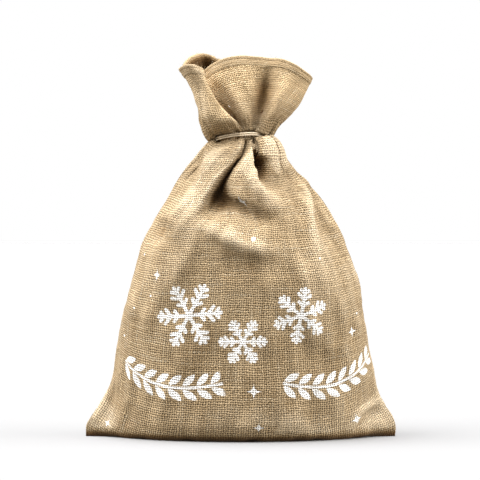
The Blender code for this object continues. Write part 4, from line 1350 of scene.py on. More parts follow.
@dataclass(frozen=True)
class BurlapFinish:
    """Coarse jute in a plain weave, uneven in tone, with the print on its front, painted shade in its folds
    and gaps, and painted light on its ridges and mouth.
    """

    pitch: float = 2.5  # from yarn to yarn
    yarn: float = 0.35  # half a yarn's width, as a share of the pitch
    thin: float = 0.30  # how thin a yarn gets, and how much its own slubs and a loose place add
    slubs: float = 0.9
    loose: float = 0.5
    apart: float = 3.71  # how far apart two yarns read their tone
    fibre: float = 7.0  # how much finer than a yarn its fibres are
    wave: float = 0.6  # how far a yarn rises and dips
    relief: float = 0.0008  # metres
    relief_strength: float = 0.9
    wander: float = 2.3  # how far the yarns stray, slowly
    jitter: float = 1.0  # and from one to the next
    yarn_contrast: float = 1.3
    fibre_contrast: float = 0.9
    broad_contrast: float = 0.6
    mean_shade: float = 0.55
    light: tuple = (0.58, 0.418, 0.236)
    dark: tuple = (0.235, 0.147, 0.064)
    grey: tuple = (0.56, 0.47, 0.33)  # of the odd yarn
    # painted shade: the tone of the gaps between the yarns, which the yarns' low places are also drawn to
    gap: tuple = (0.040, 0.026, 0.011)
    mouth_gap: tuple = (0.13, 0.088, 0.038)  # painted light: the gaps lit from behind, in place of the filling
    mouth_between: tuple = (423.0, 429.0)
    fold_shade_tint: tuple = (0.50, 0.40, 0.27)  # painted shade: what the light in a shallow fold is filtered by
    fold: tuple = (0.050, 0.020, 0.005)  # painted shade: the dark tone that deep folds are drawn to
    shade_tinted_between: tuple = (0.8, 6.0)  # depths over which the painted shade grows, as are the next two
    shade_dark_between: tuple = (4.0, 11.0)
    ridge_highlight_between: tuple = (0.5, 6.0)
    deepest_shade: float = 0.9
    mouth_lit_through: float = 0.5  # painted light: how much paler the mouth gets towards its hem, as if lit through with nothing dark behind it
    lit_through_between: tuple = (425.0, 500.0)
    # painted highlight on ridges, which catch the light: how much paler they get, and the pale tone they are
    # drawn to
    ridge_highlight_gain: float = 0.20
    pale: tuple = (0.86, 0.76, 0.58)
    closed_ridges: float = 0.3  # painted highlight: how far the gaps close where the cloth stands proud
    ridge_highlight_pull: float = 0.16  # painted highlight: how far ridges are drawn to the pale tone
    hem_run: float = NECK_RUN + 94.6  # where the cloth is doubled
    hem_darker: float = 0.34
    hem_flatter: float = 0.6
    roughness: float = 0.92
    ink_smoother: float = 0.22
    sheen: float = 0.15
    sheen_roughness: float = 0.45
    sheen_tint: tuple = (0.85, 0.66, 0.42, 1.0)
    gloss: float = 0.12
    ink: PrintInk = PrintInk()

    def make(self, name: str) -> bpy.types.Material:
        """Builds the material.

        Args:
            name: The material's name.

        Returns:
            The material.
        """
        board = Board.of_material(name)
        u, v = board.cloth_place()
        flat = board.vector(u, v)
        drift_u, drift_v, _ = board.noise(flat, 0.045, 3.0, 0.6)
        jitter_u, jitter_v, _ = board.noise(flat, 0.21, 1.0, 0.5)
        across, up = self.strayed(u, drift_u, jitter_u), self.strayed(v, drift_v, jitter_v)
        i, j = across.floor(), up.floor()
        a, b = across - i - 0.5, up - j - 0.5
        sign = 1 - ((i + j) * 0.5).fraction() * 4
        along_warp = board.vector(i * self.apart, up * 0.035)
        along_weft = board.vector(across * 0.035, j * self.apart, 7.3)
        warp_thick, warp_tone, warp_hue = board.noise(along_warp, 1.0, 3.0, 0.65)
        weft_thick, weft_tone, weft_hue = board.noise(along_weft, 1.0, 3.0, 0.65)
        open_weave = board.noise(flat, 0.07)[1]
        warp_half = self.yarn * (self.thin + self.slubs * warp_thick + self.loose * open_weave)
        weft_half = self.yarn * (self.thin + self.slubs * weft_thick + self.loose * open_weave)
        warp = sign * (b * math.pi).cosine() * self.wave + 1 - (a / warp_half) * (a / warp_half)
        weft = 1 - sign * (a * math.pi).cosine() * self.wave - (b / weft_half) * (b / weft_half)
        height = warp.most(weft)
        weft_on_top = (weft - warp).step(-0.12, 0.12)
        tone = board.choose(weft_on_top, warp_tone, weft_tone)
        hue = board.choose(weft_on_top, warp_hue, weft_hue)
        warp_hair = board.noise(board.vector(across * self.fibre, up * 0.9), 1.0, 2.0, 0.6)[0]
        weft_hair = board.noise(board.vector(across * 0.9, up * self.fibre, 3.1), 1.0, 2.0, 0.6)[0]
        hair = board.choose(weft_on_top, warp_hair, weft_hair)
        broad = board.noise(flat, 0.02)[0]
        shade = (tone - 0.5) * self.yarn_contrast + (hair - 0.5) * self.fibre_contrast
        shade = (shade + (broad - 0.5) * self.broad_contrast + self.mean_shade).step(0.0, 1.0)
        hemmed = v.step(self.hem_run - 0.4, self.hem_run + 0.4)
        yarn = board.blend(board.choose(hemmed * 0.6, shade, self.mean_shade), self.dark, self.light)
        yarn = board.blend(hue.step(0.52, 0.75) * 0.5, yarn, self.grey)
        height = height + (hair - 0.5) * 0.35
        # the painted light and shade, as a depth: above zero in a fold, below zero on a ridge
        depth = Field(board, board.node("ShaderNodeAttribute", {"attribute_name": PAINTED_LIGHT_AND_SHADE}).outputs["Fac"])
        # mask of the painted highlight, where the cloth stands proud of the cloth around it
        proud = (depth * -1).step(*self.ridge_highlight_between)
        # painted shade of the weave: the cloth goes to the gap tone where it lies low between and under the
        # yarns; the hem's doubled cloth fills its gaps
        solid = height.step(-0.3, 1.45).most(hemmed * 0.8).most(proud * self.closed_ridges)
        gap = board.blend(v.step(*self.mouth_between), self.gap, self.mouth_gap)
        # painted light on the mouth and painted highlight on the ridges, as a gain on the cloth's tone, with
        # the hem darker
        paler = (v.step(*self.lit_through_between) * self.mouth_lit_through + 1) * (proud * self.ridge_highlight_gain + 1)
        scaled = {0: board.blend(solid, gap, yarn), "Scale": paler * (hemmed * -self.hem_darker + 1)}
        cloth = board.node("ShaderNodeVectorMath", {"operation": "SCALE"}, scaled).outputs[0]
        cloth = board.blend(proud * self.ridge_highlight_pull, cloth, self.pale)
        # painted shade in the folds: tinted where shallow, drawn to near black where deep
        cloth = board.blend(depth.step(*self.shade_tinted_between), cloth, self.fold_shade_tint, "MULTIPLY")
        cloth = board.blend(depth.step(*self.shade_dark_between) * self.deepest_shade, cloth, self.fold)
        wet = self.ink.cover(u, v) * (height + (hair - 0.5) * 0.8).step(-0.75, 0.15)
        # the ink takes the same painted weave shade where it lies low
        ink = board.blend(solid, tuple(c * 0.7 for c in self.ink.colour), self.ink.colour)
        relief = {"Distance": self.relief, "Strength": self.relief_strength}
        relief["Height"] = height * (1 - hemmed * self.hem_flatter)
        return board.finish({
            "Base Color": board.blend(wet, cloth, ink),
            "Roughness": self.roughness - wet * self.ink_smoother,
            "Normal": board.node("ShaderNodeBump", None, relief).outputs[0],
            "Sheen Weight": self.sheen,
            "Sheen Roughness": self.sheen_roughness,
            "Sheen Tint": self.sheen_tint,
            "Specular IOR Level": self.gloss,
        })

    def strayed(self, place: Field, drift: Field, jitter: Field) -> Field:
        """Returns a place counted in yarns, where they stray slowly and each from the next."""
        return (place + (drift - 0.5) * self.wander * 2 + (jitter - 0.5) * self.jitter * 2) / self.pitch


@dataclass(frozen=True)
class ThreadFinish:
    """Spun thread or cord: a fine grain and a little unevenness of tone."""

    light: tuple = (0.86, 0.71, 0.50)
    dark: tuple = (0.56, 0.43, 0.27)
    grain: float = 900.0
    roughness: float = 0.85
    sheen: float = 0.3
    relief: float = 0.0002  # metres

    def make(self, name: str) -> bpy.types.Material:
        """Builds the material.

        Args:
            name: The material's name.

        Returns:
            The material.
        """
        board = Board.of_material(name)
        place = board.node("ShaderNodeTexCoord").outputs["Object"]
        fine, coarse, _ = board.noise(place, self.grain, 3.0, 0.6)
        slow = board.noise(place, self.grain / 12, 2.0, 0.5)[0]
        shade = (fine * 0.6 + slow * 0.6 - 0.1).step(0.2, 0.8)
        relief = {"Distance": self.relief, "Height": fine, "Strength": 0.7}
        return board.finish({
            "Base Color": board.blend(shade, self.dark, self.light),
            "Roughness": self.roughness + (coarse - 0.5) * 0.1,
            "Normal": board.node("ShaderNodeBump", None, relief).outputs[0],
            "Sheen Weight": self.sheen,
        })


# --------------------------------------------------------------------------------------------------
# The pieces
# --------------------------------------------------------------------------------------------------


def put(name: str, data: bpy.types.ID) -> bpy.types.Object:
    """Returns a new object in the scene with this mesh, curve, light or camera."""
    thing = bpy.data.objects.new(name, data)
    bpy.context.scene.collection.objects.link(thing)
    return thing


def select_only(*pieces: bpy.types.Object) -> None:
    """Selects these pieces alone, and makes the first of them active."""
    bpy.ops.object.select_all(action="DESELECT")
    for piece in pieces:
        piece.select_set(True)
    bpy.context.view_layer.objects.active = pieces[0]


def new_piece(name: str, points: np.ndarray, faces: list, material: bpy.types.Material) -> bpy.types.Object:
    """Makes a mesh object in the scene.

    Args:
        name: The piece's name.
        points: Its points, in millimetres.
        faces: Its faces, as lists of point numbers.
        material: Its material.

    Returns:
        The object.
    """
    mesh = bpy.data.meshes.new(name)
    mesh.from_pydata([tuple(p) for p in np.asarray(points) * MM], [], faces)
    mesh.validate()
    mesh.shade_smooth()
    mesh.materials.append(material)
    return put(name, mesh)


@dataclass
class SackCloth:
    """The burlap itself: the filled body below the tie and the open mouth above it."""

    form: SackForm = field(default_factory=SackForm)
    cloth: float = 2.0
    hem_thickness: float = 3.2
    hem_step: float = 0.8
    rim: float = 0.9
    turned_edge_at: float = 4.6  # below the hem's edge, where the cloth turned under it shows as a line
    stitches_at: float = 11.0  # and where the stitches pull it in
    dent: float = 0.35
    seam_depth: float = 0.7
    seam_half: float = 1.9
    seam_fades_by: float = 0.8  # how much of a seam is lost in the gather
    pucker_beside: float = 6.5
    pucker_reach: float = 4.2
    rows_between: tuple = ((0, 78, 14), (78, 362, 108), (362, 404, 26))  # two runs, and how many rows
    neck_rows: int = 19
    mouth_rows: int = 40
    funnel_rows: int = 22
    funnel_tip: float = 0.12
    funnel_height: float = 346.0
    hem_runs: tuple = (14, 13, 12.5, 12.1, 11.7, 11.2, 10, 8, 6.6, 5.2, 4.6, 4.0, 2.8, 1.6, 0.8, 0.25, 0)
    seed: int = 11
    fill: float = 0.85
    soften_times: int = 60
    # how much of the folds' depth counts towards the painted shade
    sunk_share: float = 0.45
    mouth_share: float = 0.35  # how much the flared mouth's own curve counts towards the painted shade
    ear_share: float = 0.3  # and the same for the corners, which curve in from their tips
    contact_shadow_depth: float = 10.5  # painted shadow: the depth that the cloth against the floor counts as
    contact_shadow_height: float = 10.0
    measured_below: float = 130.0  # the run below which the weave is laid by the cloth's own length
    inner_shade_depth: float = 8.0  # painted shade: the depth that the mouth's inside counts as
    inner_shade_over: float = 6.0
    ears_up_to: float = 45.0  # the height below which the corners count as ears, and over how much they end
    ears_end_over: float = 50.0
    waves: int = 26  # of the cloth's soft unevenness
    wave_sizes: tuple = (0.10, 0.26)
    pucker_counts: tuple = (47, 61, 79)  # puckers round the tie
    pucker_size: float = 0.28
    finished_outer: ClothGrid | None = None  # the outside, once it is built

    def outer(self) -> ClothGrid:
        """Works out the outside, from the bottom fold to the hem.

        Returns:
            Its grid.
        """
        form = self.form
        columns = form.rounds()
        runs = [np.linspace(low, high, count, endpoint=False) for low, high, count in self.rows_between]
        runs = np.concatenate([*runs, np.linspace(self.rows_between[-1][1], NECK_RUN, self.neck_rows)])
        body = [form.body_row(run, columns) for run in runs]
        groove_top = body[-1][0] + np.array([0, 0, form.tie.groove_height])
        hem_climbs = 1 - np.array(self.hem_runs) / form.mouth_length
        below_hem = np.linspace(0, 1, self.mouth_rows + 1)[1:] ** 1.5 * hem_climbs[0]
        climbs = np.concatenate([below_hem, hem_climbs[1:]])
        mouth = [form.mouth_row(climb, columns, groove_top, with_lips=True) for climb in climbs]
        rows = body + [(groove_top, body[-1][1])] + mouth
        points, sunk = (np.array([row[k] for row in rows]) for k in range(2))
        mouth_runs = NECK_RUN + form.tie.groove_height + np.concatenate([[0], climbs]) * form.mouth_length
        return ClothGrid(points, sunk, columns, np.concatenate([runs, mouth_runs]))

    def top_run(self) -> float:
        """Returns the run of the hem's edge."""
        return NECK_RUN + self.form.tie.groove_height + self.form.mouth_length

    def detail(self, grid: ClothGrid) -> None:
        """Adds what is finer than the part's solid: the hem's step, the seams and the cloth's unevenness.

        Args:
            grid: The outside, which is changed.
        """
        run = grid.runs[:, None]
        columns = grid.rounds[None, :]
        below_hem = self.top_run() - run
        step = self.hem_step * ease((self.form.hem_depth + 0.4 - below_hem) / 0.9)
        step = step - self.dent * bump(below_hem - self.turned_edge_at, 0.9)
        step = step - self.rim * ease((1.1 - below_hem) / 1.1)
        stitch_dimple = self.dent * bump(below_hem - self.stitches_at, 0.8)
        push = (step - stitch_dimple) * np.ones_like(columns)
        push += self.seams(run, columns) + self.unevenness(run, columns)
        grid.push(push)
        grid.points[:, :, 2] = np.maximum(grid.points[:, :, 2], 0.0)

    def seams(self, run: np.ndarray, columns: np.ndarray) -> np.ndarray:
        """Works out the side seams: a groove with the cloth puckered beside it.

        Args:
            run: The rows' runs.
            columns: The columns' rounds.

        Returns:
            How far the cloth moves outwards.
        """
        width = self.form.flat_width
        aside = width / 2 - np.abs(np.mod(columns, width) - width / 2)
        in_gather = self.seam_fades_by * ease((run - 280) / 80) * ease((NECK_RUN + 20 - run) / 20)
        shown = ease((run - 34) / 30) * (1 - in_gather)
        pucker = 0.55 + 0.45 * np.sin(run / 3.9 + 1.3 * np.sin(run / 17)) * np.sin(run / 11 + columns / 90)
        beside = self.seam_depth * pucker * bump(aside - self.pucker_beside, self.pucker_reach)
        return shown * (beside - self.seam_depth * bump(aside, self.seam_half))

    def unevenness(self, run: np.ndarray, columns: np.ndarray) -> np.ndarray:
        """Works out the soft, small unevenness of a loosely woven cloth.

        Args:
            run: The rows' runs.
            columns: The columns' rounds.

        Returns:
            How far the cloth moves outwards.
        """
        random = np.random.default_rng(self.seed)
        total = np.zeros(np.broadcast(run, columns).shape)
        girth = self.form.girth
        for _ in range(self.waves):
            times_round = random.integers(8, 34)
            up = random.normal(0, 1 / 13)
            size = random.uniform(*self.wave_sizes)
            total += size * np.sin(TAU * times_round * columns / girth + up * run + random.uniform(0, TAU))
        near_tie = bump(run - NECK_RUN, 34)
        puckers = np.zeros_like(total)
        for times_round in self.pucker_counts:
            puckers += np.sin(TAU * times_round * columns / girth + random.uniform(0, TAU) + run / 60)
        return total * ease((run - 20) / 40) + puckers * near_tie * self.pucker_size

    def inner(self, outer: ClothGrid) -> ClothGrid:
        """Works out the inside of the mouth, from the hem down to where the pleats meet.

        Args:
            outer: The finished outside.

        Returns:
            Its grid.
        """
        form = self.form
        first = len(outer.runs) - self.mouth_rows - len(self.hem_runs)
        groove_top = outer.points[first]
        hem_z = outer.points[-1][:, 2]
        steps = np.linspace(0, 1, self.funnel_rows) ** 0.9
        climbs = np.concatenate([[1, 0.992], 1 - steps[1:] * 0.985])
        rows, runs = [], []
        for climb in climbs:
            row, _ = form.mouth_row(climb, outer.rounds, groove_top)
            around = np.roll(row, -1, axis=0) - np.roll(row, 1, axis=0)
            inward = unit(np.stack([-around[:, 1], around[:, 0]], axis=1))
            below = (1 - climb) * form.mouth_length
            in_hem = ease(1.5 - below / form.hem_depth)
            wall = self.cloth + (self.hem_thickness - self.hem_step - self.cloth) * in_hem
            wall -= self.rim * ease((1.1 - below) / 1.1)
            row[:, :2] += inward * wall
            closing = 1 - (1 - self.funnel_tip) * ease((0.42 - climb) / 0.42)
            centre = row[:, :2].mean(axis=0)
            row[:, :2] = centre + (row[:, :2] - centre) * closing
            row[:, 2] = np.maximum(row[:, 2], self.funnel_height)
            rows.append(row)
            runs.append(self.top_run() + 3 + below)
        rows[0][:, 2] = hem_z
        # painted shade inside the mouth, growing deeper below the hem
        inner_shade = self.inner_shade_depth * ease((1 - climbs) * form.mouth_length / self.inner_shade_over)
        sunk = np.repeat(inner_shade[:, None], len(outer.rounds), axis=1)
        return ClothGrid(np.array(rows), sunk, outer.rounds, np.array(runs))

    def light_and_shade_depths(self, grid: ClothGrid) -> np.ndarray:
        """Works out the painted light and shade as a depth: how far each point lies below the cloth around
        it, with patches of painted light and shade and a painted contact shadow.

        Args:
            grid: The outside.

        Returns:
            The depth at every point: above zero for painted shade in a fold and below zero for a painted
                highlight on a ridge.
        """
        around = grid.points.copy()
        for _ in range(self.soften_times):
            around = (np.roll(around, 1, axis=1) + 2 * around + np.roll(around, -1, axis=1)) / 4
            padded = np.concatenate([around[:1], around, around[-1:]])
            around = (padded[:-2] + 2 * around + padded[2:]) / 4
        nearby = ((around - grid.points) * grid.normals()).sum(axis=2)
        nearby[grid.runs > NECK_RUN] *= self.mouth_share
        above_ears = ease((grid.points[:, :, 2] - self.ears_up_to) / self.ears_end_over)
        counted = self.ear_share + (1 - self.ear_share) * above_ears
        nearby = np.where(nearby > 0, nearby * counted, nearby)
        folded = grid.sunk * self.sunk_share
        deep = np.where(folded > 0, np.maximum(nearby, folded), np.minimum(nearby, folded))
        # patches of painted light and painted shade
        for light_patch in PAINTED_LIGHT_PATCHES:
            first, last, _ = light_patch.part.value
            lit = bump(grid.points[:, :, 0] - light_patch.x, light_patch.wide)
            lit = lit * bump(grid.points[:, :, 2] - light_patch.z, light_patch.high)
            deep -= light_patch.amount * lit * ((grid.rounds >= first) & (grid.rounds <= last))
        # painted contact shadow along the bottom, where the cloth meets the floor
        contact_shadow = self.contact_shadow_depth * (1 - ease(grid.points[:, :, 2] / self.contact_shadow_height))
        return np.where(contact_shadow > 0, np.maximum(deep, contact_shadow), deep)

    def build(self, material: bpy.types.Material) -> bpy.types.Object:
        """Builds the sack.

        Args:
            material: The burlap.

        Returns:
            The finished piece.
        """
        outer = self.outer()
        self.detail(outer)
        self.finished_outer = outer
        inner = self.inner(outer)
        points = np.concatenate([outer.points, inner.points])
        rows, count = points.shape[:2]
        faces = []
        places = []
        rounds = outer.woven_rounds(self.form.flat_width)
        rounds = np.concatenate([rounds, np.repeat(rounds[-1:], len(inner.runs), axis=0)])
        inner_runs = np.repeat(inner.runs[:, None], count, axis=1)
        woven = np.concatenate([outer.woven_runs(self.measured_below), inner_runs])
        for r in range(rows - 1):
            for k in range(count):
                corners = ((r, k), (r, k + 1), (r + 1, k + 1), (r + 1, k))
                faces.append(tuple(row * count + column % count for row, column in corners))
                places += [(rounds[row, column], woven[row, column % count]) for row, column in corners]
        last = (rows - 1) * count
        faces.append(tuple(range(last, last + count)))
        places += [(edge, inner.runs[-1]) for edge in outer.rounds]
        mesh = bpy.data.meshes.new("sack_cloth_dressed")
        mesh.from_pydata([tuple(p) for p in points.reshape(-1, 3) * MM], [], faces)
        layer = mesh.uv_layers.new(name=CLOTH_MAP)
        layer.uv.foreach_set("vector", (np.array(places) / FLAT_MAP_SIZE).astype(np.float32).ravel())
        # the painted light and shade of the outside and of the mouth's inside
        depth = np.concatenate([self.light_and_shade_depths(outer), inner.sunk])
        hollow = mesh.attributes.new(PAINTED_LIGHT_AND_SHADE, "FLOAT", "POINT")
        hollow.data.foreach_set("value", depth.astype(np.float32).ravel())
        mesh.materials.append(material)
        mesh.shade_smooth()
        piece = put("burlap_sack", mesh)
        self.close_bottom(piece, count)
        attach(piece, "root")
        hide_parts("sack_cloth")
        return piece

    @staticmethod
    def close_bottom(piece: bpy.types.Object, count: int) -> None:
        """Joins the two faces of the cloth along the fold across the bottom.

        Args:
            piece: The sack.
            count: How many points its first row has.
        """
        select_only(piece)
        for number, vertex in enumerate(piece.data.vertices):
            vertex.select = number < count
        bpy.ops.object.mode_set(mode="EDIT")
        bpy.ops.mesh.select_mode(type="VERT")
        bpy.ops.mesh.remove_doubles(threshold=0.1 * MM)
        bpy.ops.object.mode_set(mode="OBJECT")
        piece.select_set(False)


@dataclass
class NeckTie:
    """The thin cord wound twice round the neck: two plies laid together, the ends tucked in at the back."""

    form: SackForm
    ply_share: float = 0.56  # a ply's diameter, as a share of the cord's
    lay: float = 4.6  # the length of one turn of the plies
    step: float = 0.75
    sides: int = 8

    def route(self) -> np.ndarray:
        """Works out the cord's centre line.

        Returns:
            Points a step apart.
        """
        tie = self.form.tie
        points, shares, _ = self.form.outline(NECK_RUN)
        away = tie.clearance + tie.diameter / 2
        turns = np.linspace(0, tie.turns, 1200)
        share = np.mod(0.75 + turns, 1.0)
        line = self.form.along(share, shares, points)
        line[:, :2] += unit(line[:, :2]) * away
        line[:, 2] += tie.groove_height / 2 + tie.lift(share) + tie.pitch * (turns - tie.turns / 2)
        length = lengths_along(line)
        return read_line(np.arange(0, length[-1], self.step), length, line)

    def build(self, material: bpy.types.Material) -> bpy.types.Object:
        """Builds the tie.

        Args:
            material: The cord's finish.

        Returns:
            The finished piece.
        """
        line = self.route()
        heading = unit(np.gradient(line, axis=0))
        side = unit(np.cross(heading, [0, 0, 1]))
        rise = np.cross(side, heading)
        radius = self.form.tie.diameter * self.ply_share / 2
        offset = self.form.tie.diameter / 2 - radius
        points, faces = [], []
        for ply in range(2):
            twist = TAU * np.arange(len(line)) * self.step / self.lay + math.pi * ply
            centre = line + offset * (side * np.cos(twist)[:, None] + rise * np.sin(twist)[:, None])
            base = len(points)
            for spot, out, up in zip(centre, side, rise):
                for corner in range(self.sides):
                    turn = TAU * corner / self.sides
                    points.append(spot + radius * (out * math.cos(turn) + up * math.sin(turn)))
            for ring in range(len(line) - 1):
                low, high = base + ring * self.sides, base + (ring + 1) * self.sides
                for corner in range(self.sides):
                    after = (corner + 1) % self.sides
                    faces.append((low + corner, high + corner, high + after, low + after))
            faces.append(tuple(base + corner for corner in range(self.sides)))
            last = base + (len(line) - 1) * self.sides
            faces.append(tuple(last + corner for corner in reversed(range(self.sides))))
        piece = new_piece("neck_tie_cord", np.array(points), faces, material)
        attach(piece, "root")
        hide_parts("neck_tie")
        return piece


@dataclass
class HemStitching:
    """The row of stitches that holds the hem, lying in its own shallow groove all round the mouth."""

    cloth: SackCloth
    spacing: float = 4.4
    length: float = 3.2
    width: float = 0.75
    height: float = 0.6
    below_edge: float = 11.0
    slant: float = 4.0  # degrees

    def path(self) -> tuple[np.ndarray, np.ndarray]:
        """Finds the line of the stitches on the finished cloth.

        Returns:
            Points round the mouth, and the outward direction at each.
        """
        grid = self.cloth.finished_outer
        at = self.cloth.top_run() - self.below_edge
        above = int(np.searchsorted(grid.runs, at))
        share = (at - grid.runs[above - 1]) / (grid.runs[above] - grid.runs[above - 1])
        line = grid.points[above - 1] * (1 - share) + grid.points[above] * share
        return line, grid.normals()[above]

    def stitch(self) -> bpy.types.Object:
        """Models one stitch, lying along X on a cloth that faces +Z.

        Returns:
            The stitch.
        """
        bpy.ops.object.select_all(action="DESELECT")
        bpy.ops.mesh.primitive_uv_sphere_add(segments=8, ring_count=6, radius=0.5 * MM)
        stitch = bpy.context.object
        bpy.ops.object.mode_set(mode="EDIT")
        bpy.ops.mesh.select_all(action="SELECT")
        bpy.ops.transform.resize(value=(self.length, self.width, self.height))
        bpy.ops.object.mode_set(mode="OBJECT")
        return stitch

    def build(self, material: bpy.types.Material) -> bpy.types.Object:
        """Copies the stitch round the hem and joins the copies.

        Args:
            material: The thread.

        Returns:
            The finished piece.
        """
        line, outward = self.path()
        closed = np.vstack([line, line[:1]])
        length = lengths_along(closed)
        count = int(length[-1] / self.spacing)
        first = self.stitch()
        copies = []
        for number in range(count):
            at = length[-1] * number / count
            spot, ahead = (read_line(place, length, closed) for place in (at, at + 1.0))
            facing = outward[min(int(np.searchsorted(length, at)), len(outward) - 1)]
            along = Vector(ahead - spot).normalized()
            up = Vector(facing)
            across = up.cross(along).normalized()
            up = along.cross(across)
            turn = Matrix((along, across, up)).transposed().to_4x4()
            lean = Matrix.Rotation(math.radians(self.slant), 4, "Z")
            copies.append(put(first.name, first.data.copy()))
            copies[-1].data.transform(Matrix.Translation(Vector(spot * MM)) @ turn @ lean)
        bpy.data.objects.remove(first)
        select_only(*copies)
        bpy.ops.object.join()
        piece = bpy.context.object
        piece.name = "hem_stitching"
        piece.select_set(False)
        piece.data.shade_smooth()
        piece.data.materials.append(material)
        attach(piece, "root")
        return piece


@dataclass
class LooseFibres:
    """The fine jute hairs that stand off the cloth, and others that stand up along the mouth's edge."""

    cloth: SackCloth
    hairs: int = 1500
    rim_hairs: int = 260
    shortest: float = 2.0
    longest: float = 7.0
    thickness: float = 0.13
    steps: int = 4
    seed: int = 5

    def hair(
        self, random: np.random.Generator, root: np.ndarray, outward: np.ndarray, size: float
    ) -> np.ndarray:
        """Grows one curved hair.

        Args:
            random: The source of its unevenness.
            root: Where it leaves the cloth.
            outward: The direction that the cloth faces there.
            size: The hair's length.

        Returns:
            The points along it.
        """
        heading = outward * random.uniform(0.25, 0.9) + random.normal(0, 0.6, 3)
        heading /= np.linalg.norm(heading)
        curl = random.normal(0, 0.28, 3)
        points = [root - outward * 0.3]
        for _ in range(self.steps):
            points.append(points[-1] + heading * size / self.steps)
            heading = heading + curl + np.array([0, 0, -0.06])
            heading += outward * max(0.0, -float(heading @ outward)) * 1.2
            heading /= np.linalg.norm(heading)
        return np.array(points)

    def build(self, material: bpy.types.Material) -> bpy.types.Object:
        """Grows all the hairs as one thin curve and makes it a mesh.

        Args:
            material: The fibre.

        Returns:
            The finished piece.
        """
        random = np.random.default_rng(self.seed)
        grid = self.cloth.finished_outer
        outward = grid.normals()
        rows, columns = grid.points.shape[:2]
        hair_rows = random.integers(16, rows - 4, self.hairs)
        hair_columns = random.integers(0, columns, self.hairs)
        body = [(int(r), int(c)) for r, c in zip(hair_rows, hair_columns)]
        rim = [(rows - 1, int(c)) for c in random.integers(0, columns, self.rim_hairs)]
        data = bpy.data.curves.new("loose_fibres", "CURVE")
        data.dimensions = "3D"
        data.bevel_depth = self.thickness / 2 * MM
        data.bevel_resolution = 0
        for row, column in body + rim:
            size = random.uniform(self.shortest, self.longest) * random.uniform(0.5, 1)
            facing = outward[row, column] + (np.array([0, 0, 1.0]) if row == rows - 1 else 0)
            path = self.hair(random, grid.points[row, column], facing / np.linalg.norm(facing), size)
            spline = data.splines.new("POLY")
            spline.points.add(len(path) - 1)
            for point, place in zip(spline.points, path):
                point.co = (*(place * MM), 1.0)
            for number, point in enumerate(spline.points):
                point.radius = 1 - 0.75 * number / self.steps
        select_only(put("loose_fibres", data))
        bpy.ops.object.convert(target="MESH")
        piece = bpy.context.object
        piece.select_set(False)
        piece.data.vertices.foreach_get("co", flat := np.zeros(len(piece.data.vertices) * 3))
        flat[2::3] = np.maximum(flat[2::3], 0.0)
        piece.data.vertices.foreach_set("co", flat)
        piece.data.materials.clear()
        piece.data.materials.append(material)
        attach(piece, "root")
        return piece


# --------------------------------------------------------------------------------------------------
# The studio
# --------------------------------------------------------------------------------------------------


@dataclass(frozen=True)
class Lamp:
    """One broad soft light, too far away to fall off."""

    name: str
    comes_from: tuple
    spread: float  # degrees
    strength: float  # 1 lights a white sheet that faces it to full white
    tint: tuple


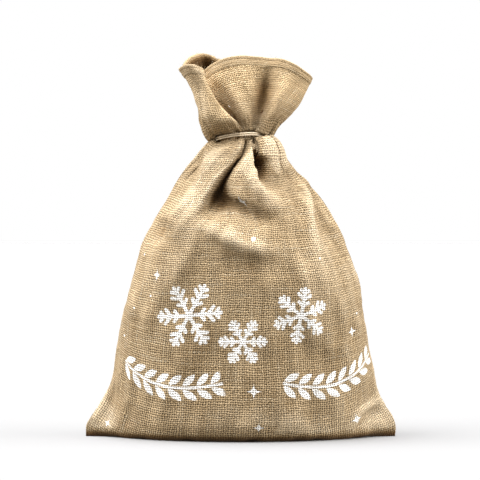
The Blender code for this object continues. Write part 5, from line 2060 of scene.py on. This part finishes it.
@dataclass
class Studio:
    """The pale floor, the soft light and the camera at the photograph's angle, in metres."""

    distance: float = 2.4
    aim: tuple = (0.0, 0.0, 0.2215)
    frame_width: float = 0.542
    sensor: float = 36.0
    floor_size: float = 400.0
    sky: float = 0.58
    ground: float = 0.34
    room_tint: tuple = (1.0, 0.95, 0.86)
    floor_tint: tuple = (0.214, 0.205, 0.190, 1.0)
    floor_roughness: float = 0.8
    lamps: tuple = (
        Lamp("overhead", (-0.12, -0.02, 1.0), 60.0, 3.1, (0.94, 1.0, 1.12)),
        Lamp("left", (-0.85, -0.15, 0.6), 60.0, 1.35, (0.97, 1.0, 1.06)),
        Lamp("right", (1.0, -0.12, 0.3), 60.0, 1.9, (0.97, 1.0, 1.06)),
    )

    def camera(self) -> bpy.types.Object:
        """Makes the camera and looks through it.

        Returns:
            The camera.
        """
        data = bpy.data.cameras.new("camera")
        data.sensor_width = self.sensor
        data.lens = self.sensor * self.distance / self.frame_width
        data.clip_start = 0.05
        data.clip_end = self.floor_size
        camera = put("camera", data)
        camera.location = Vector(self.aim) - Vector((0, self.distance, 0))
        camera.rotation_euler = (math.radians(90), 0, 0)
        bpy.context.scene.camera = camera
        return camera

    def light(self) -> None:
        """Hangs the lamps and lights the room."""
        for lamp in self.lamps:
            data = bpy.data.lights.new(lamp.name, "SUN")
            data.angle = math.radians(lamp.spread)
            data.energy = lamp.strength * math.pi
            data.color = lamp.tint
            turn = (-Vector(lamp.comes_from)).to_track_quat("-Z", "Y").to_euler()
            put(lamp.name, data).rotation_euler = turn
        self.room()
        bpy.context.scene.view_settings.view_transform = "Standard"

    def room(self) -> None:
        """Surrounds the sack with a pale room that is bright above, dim below and white behind."""
        world = bpy.data.worlds.new("studio")
        world.use_nodes = True
        board = Board(world.node_tree)
        place = board.node("ShaderNodeTexCoord").outputs["Generated"]
        height = Field(board, board.node("ShaderNodeSeparateXYZ", None, {0: place}).outputs[2])
        seen = Field(board, board.node("ShaderNodeLightPath").outputs["Is Camera Ray"])
        lit = board.choose(height.step(-0.25, 0.35), self.ground, self.sky)
        background = world.node_tree.nodes["Background"]
        board.feed(background.inputs[0], board.blend(seen, self.room_tint, (1.0, 1.0, 1.0)))
        board.feed(background.inputs[1], board.choose(seen, lit, 1.0))
        bpy.context.scene.world = world

    def floor(self) -> bpy.types.Object:
        """Lays the floor.

        Returns:
            The floor.
        """
        bpy.ops.object.select_all(action="DESELECT")
        bpy.ops.mesh.primitive_plane_add(size=self.floor_size)
        floor = bpy.context.object
        floor.name = "floor"
        floor.visible_diffuse = False
        board = Board.of_material("floor_paper")
        look = {"Base Color": self.floor_tint, "Roughness": self.floor_roughness, "Specular IOR Level": 0.0}
        floor.data.materials.append(board.finish(look))
        return floor


def main() -> None:
    """Builds the sack and its studio in order, and reports each piece."""
    logging.basicConfig(level=logging.INFO, format="%(name)s: %(message)s")
    studio = Studio()
    studio.camera()
    studio.light()
    studio.floor()
    log.info("studio ready")
    cloth = SackCloth()
    thread = ThreadFinish(light=(0.52, 0.41, 0.24), dark=(0.28, 0.20, 0.10))
    fibre = ThreadFinish(light=(0.60, 0.47, 0.27), dark=(0.38, 0.28, 0.14))
    for part, finish, name in (
        (cloth, BurlapFinish(), "burlap"),
        (NeckTie(cloth.form), ThreadFinish(), "tie_cord"),
        (HemStitching(cloth), thread, "hem_thread"),
        (LooseFibres(cloth), fibre, "jute_fibre"),
    ):
        piece = part.build(finish.make(name))
        log.info("%s: %d faces", piece.name, len(piece.data.polygons))


if __name__ == "__main__":
    main()
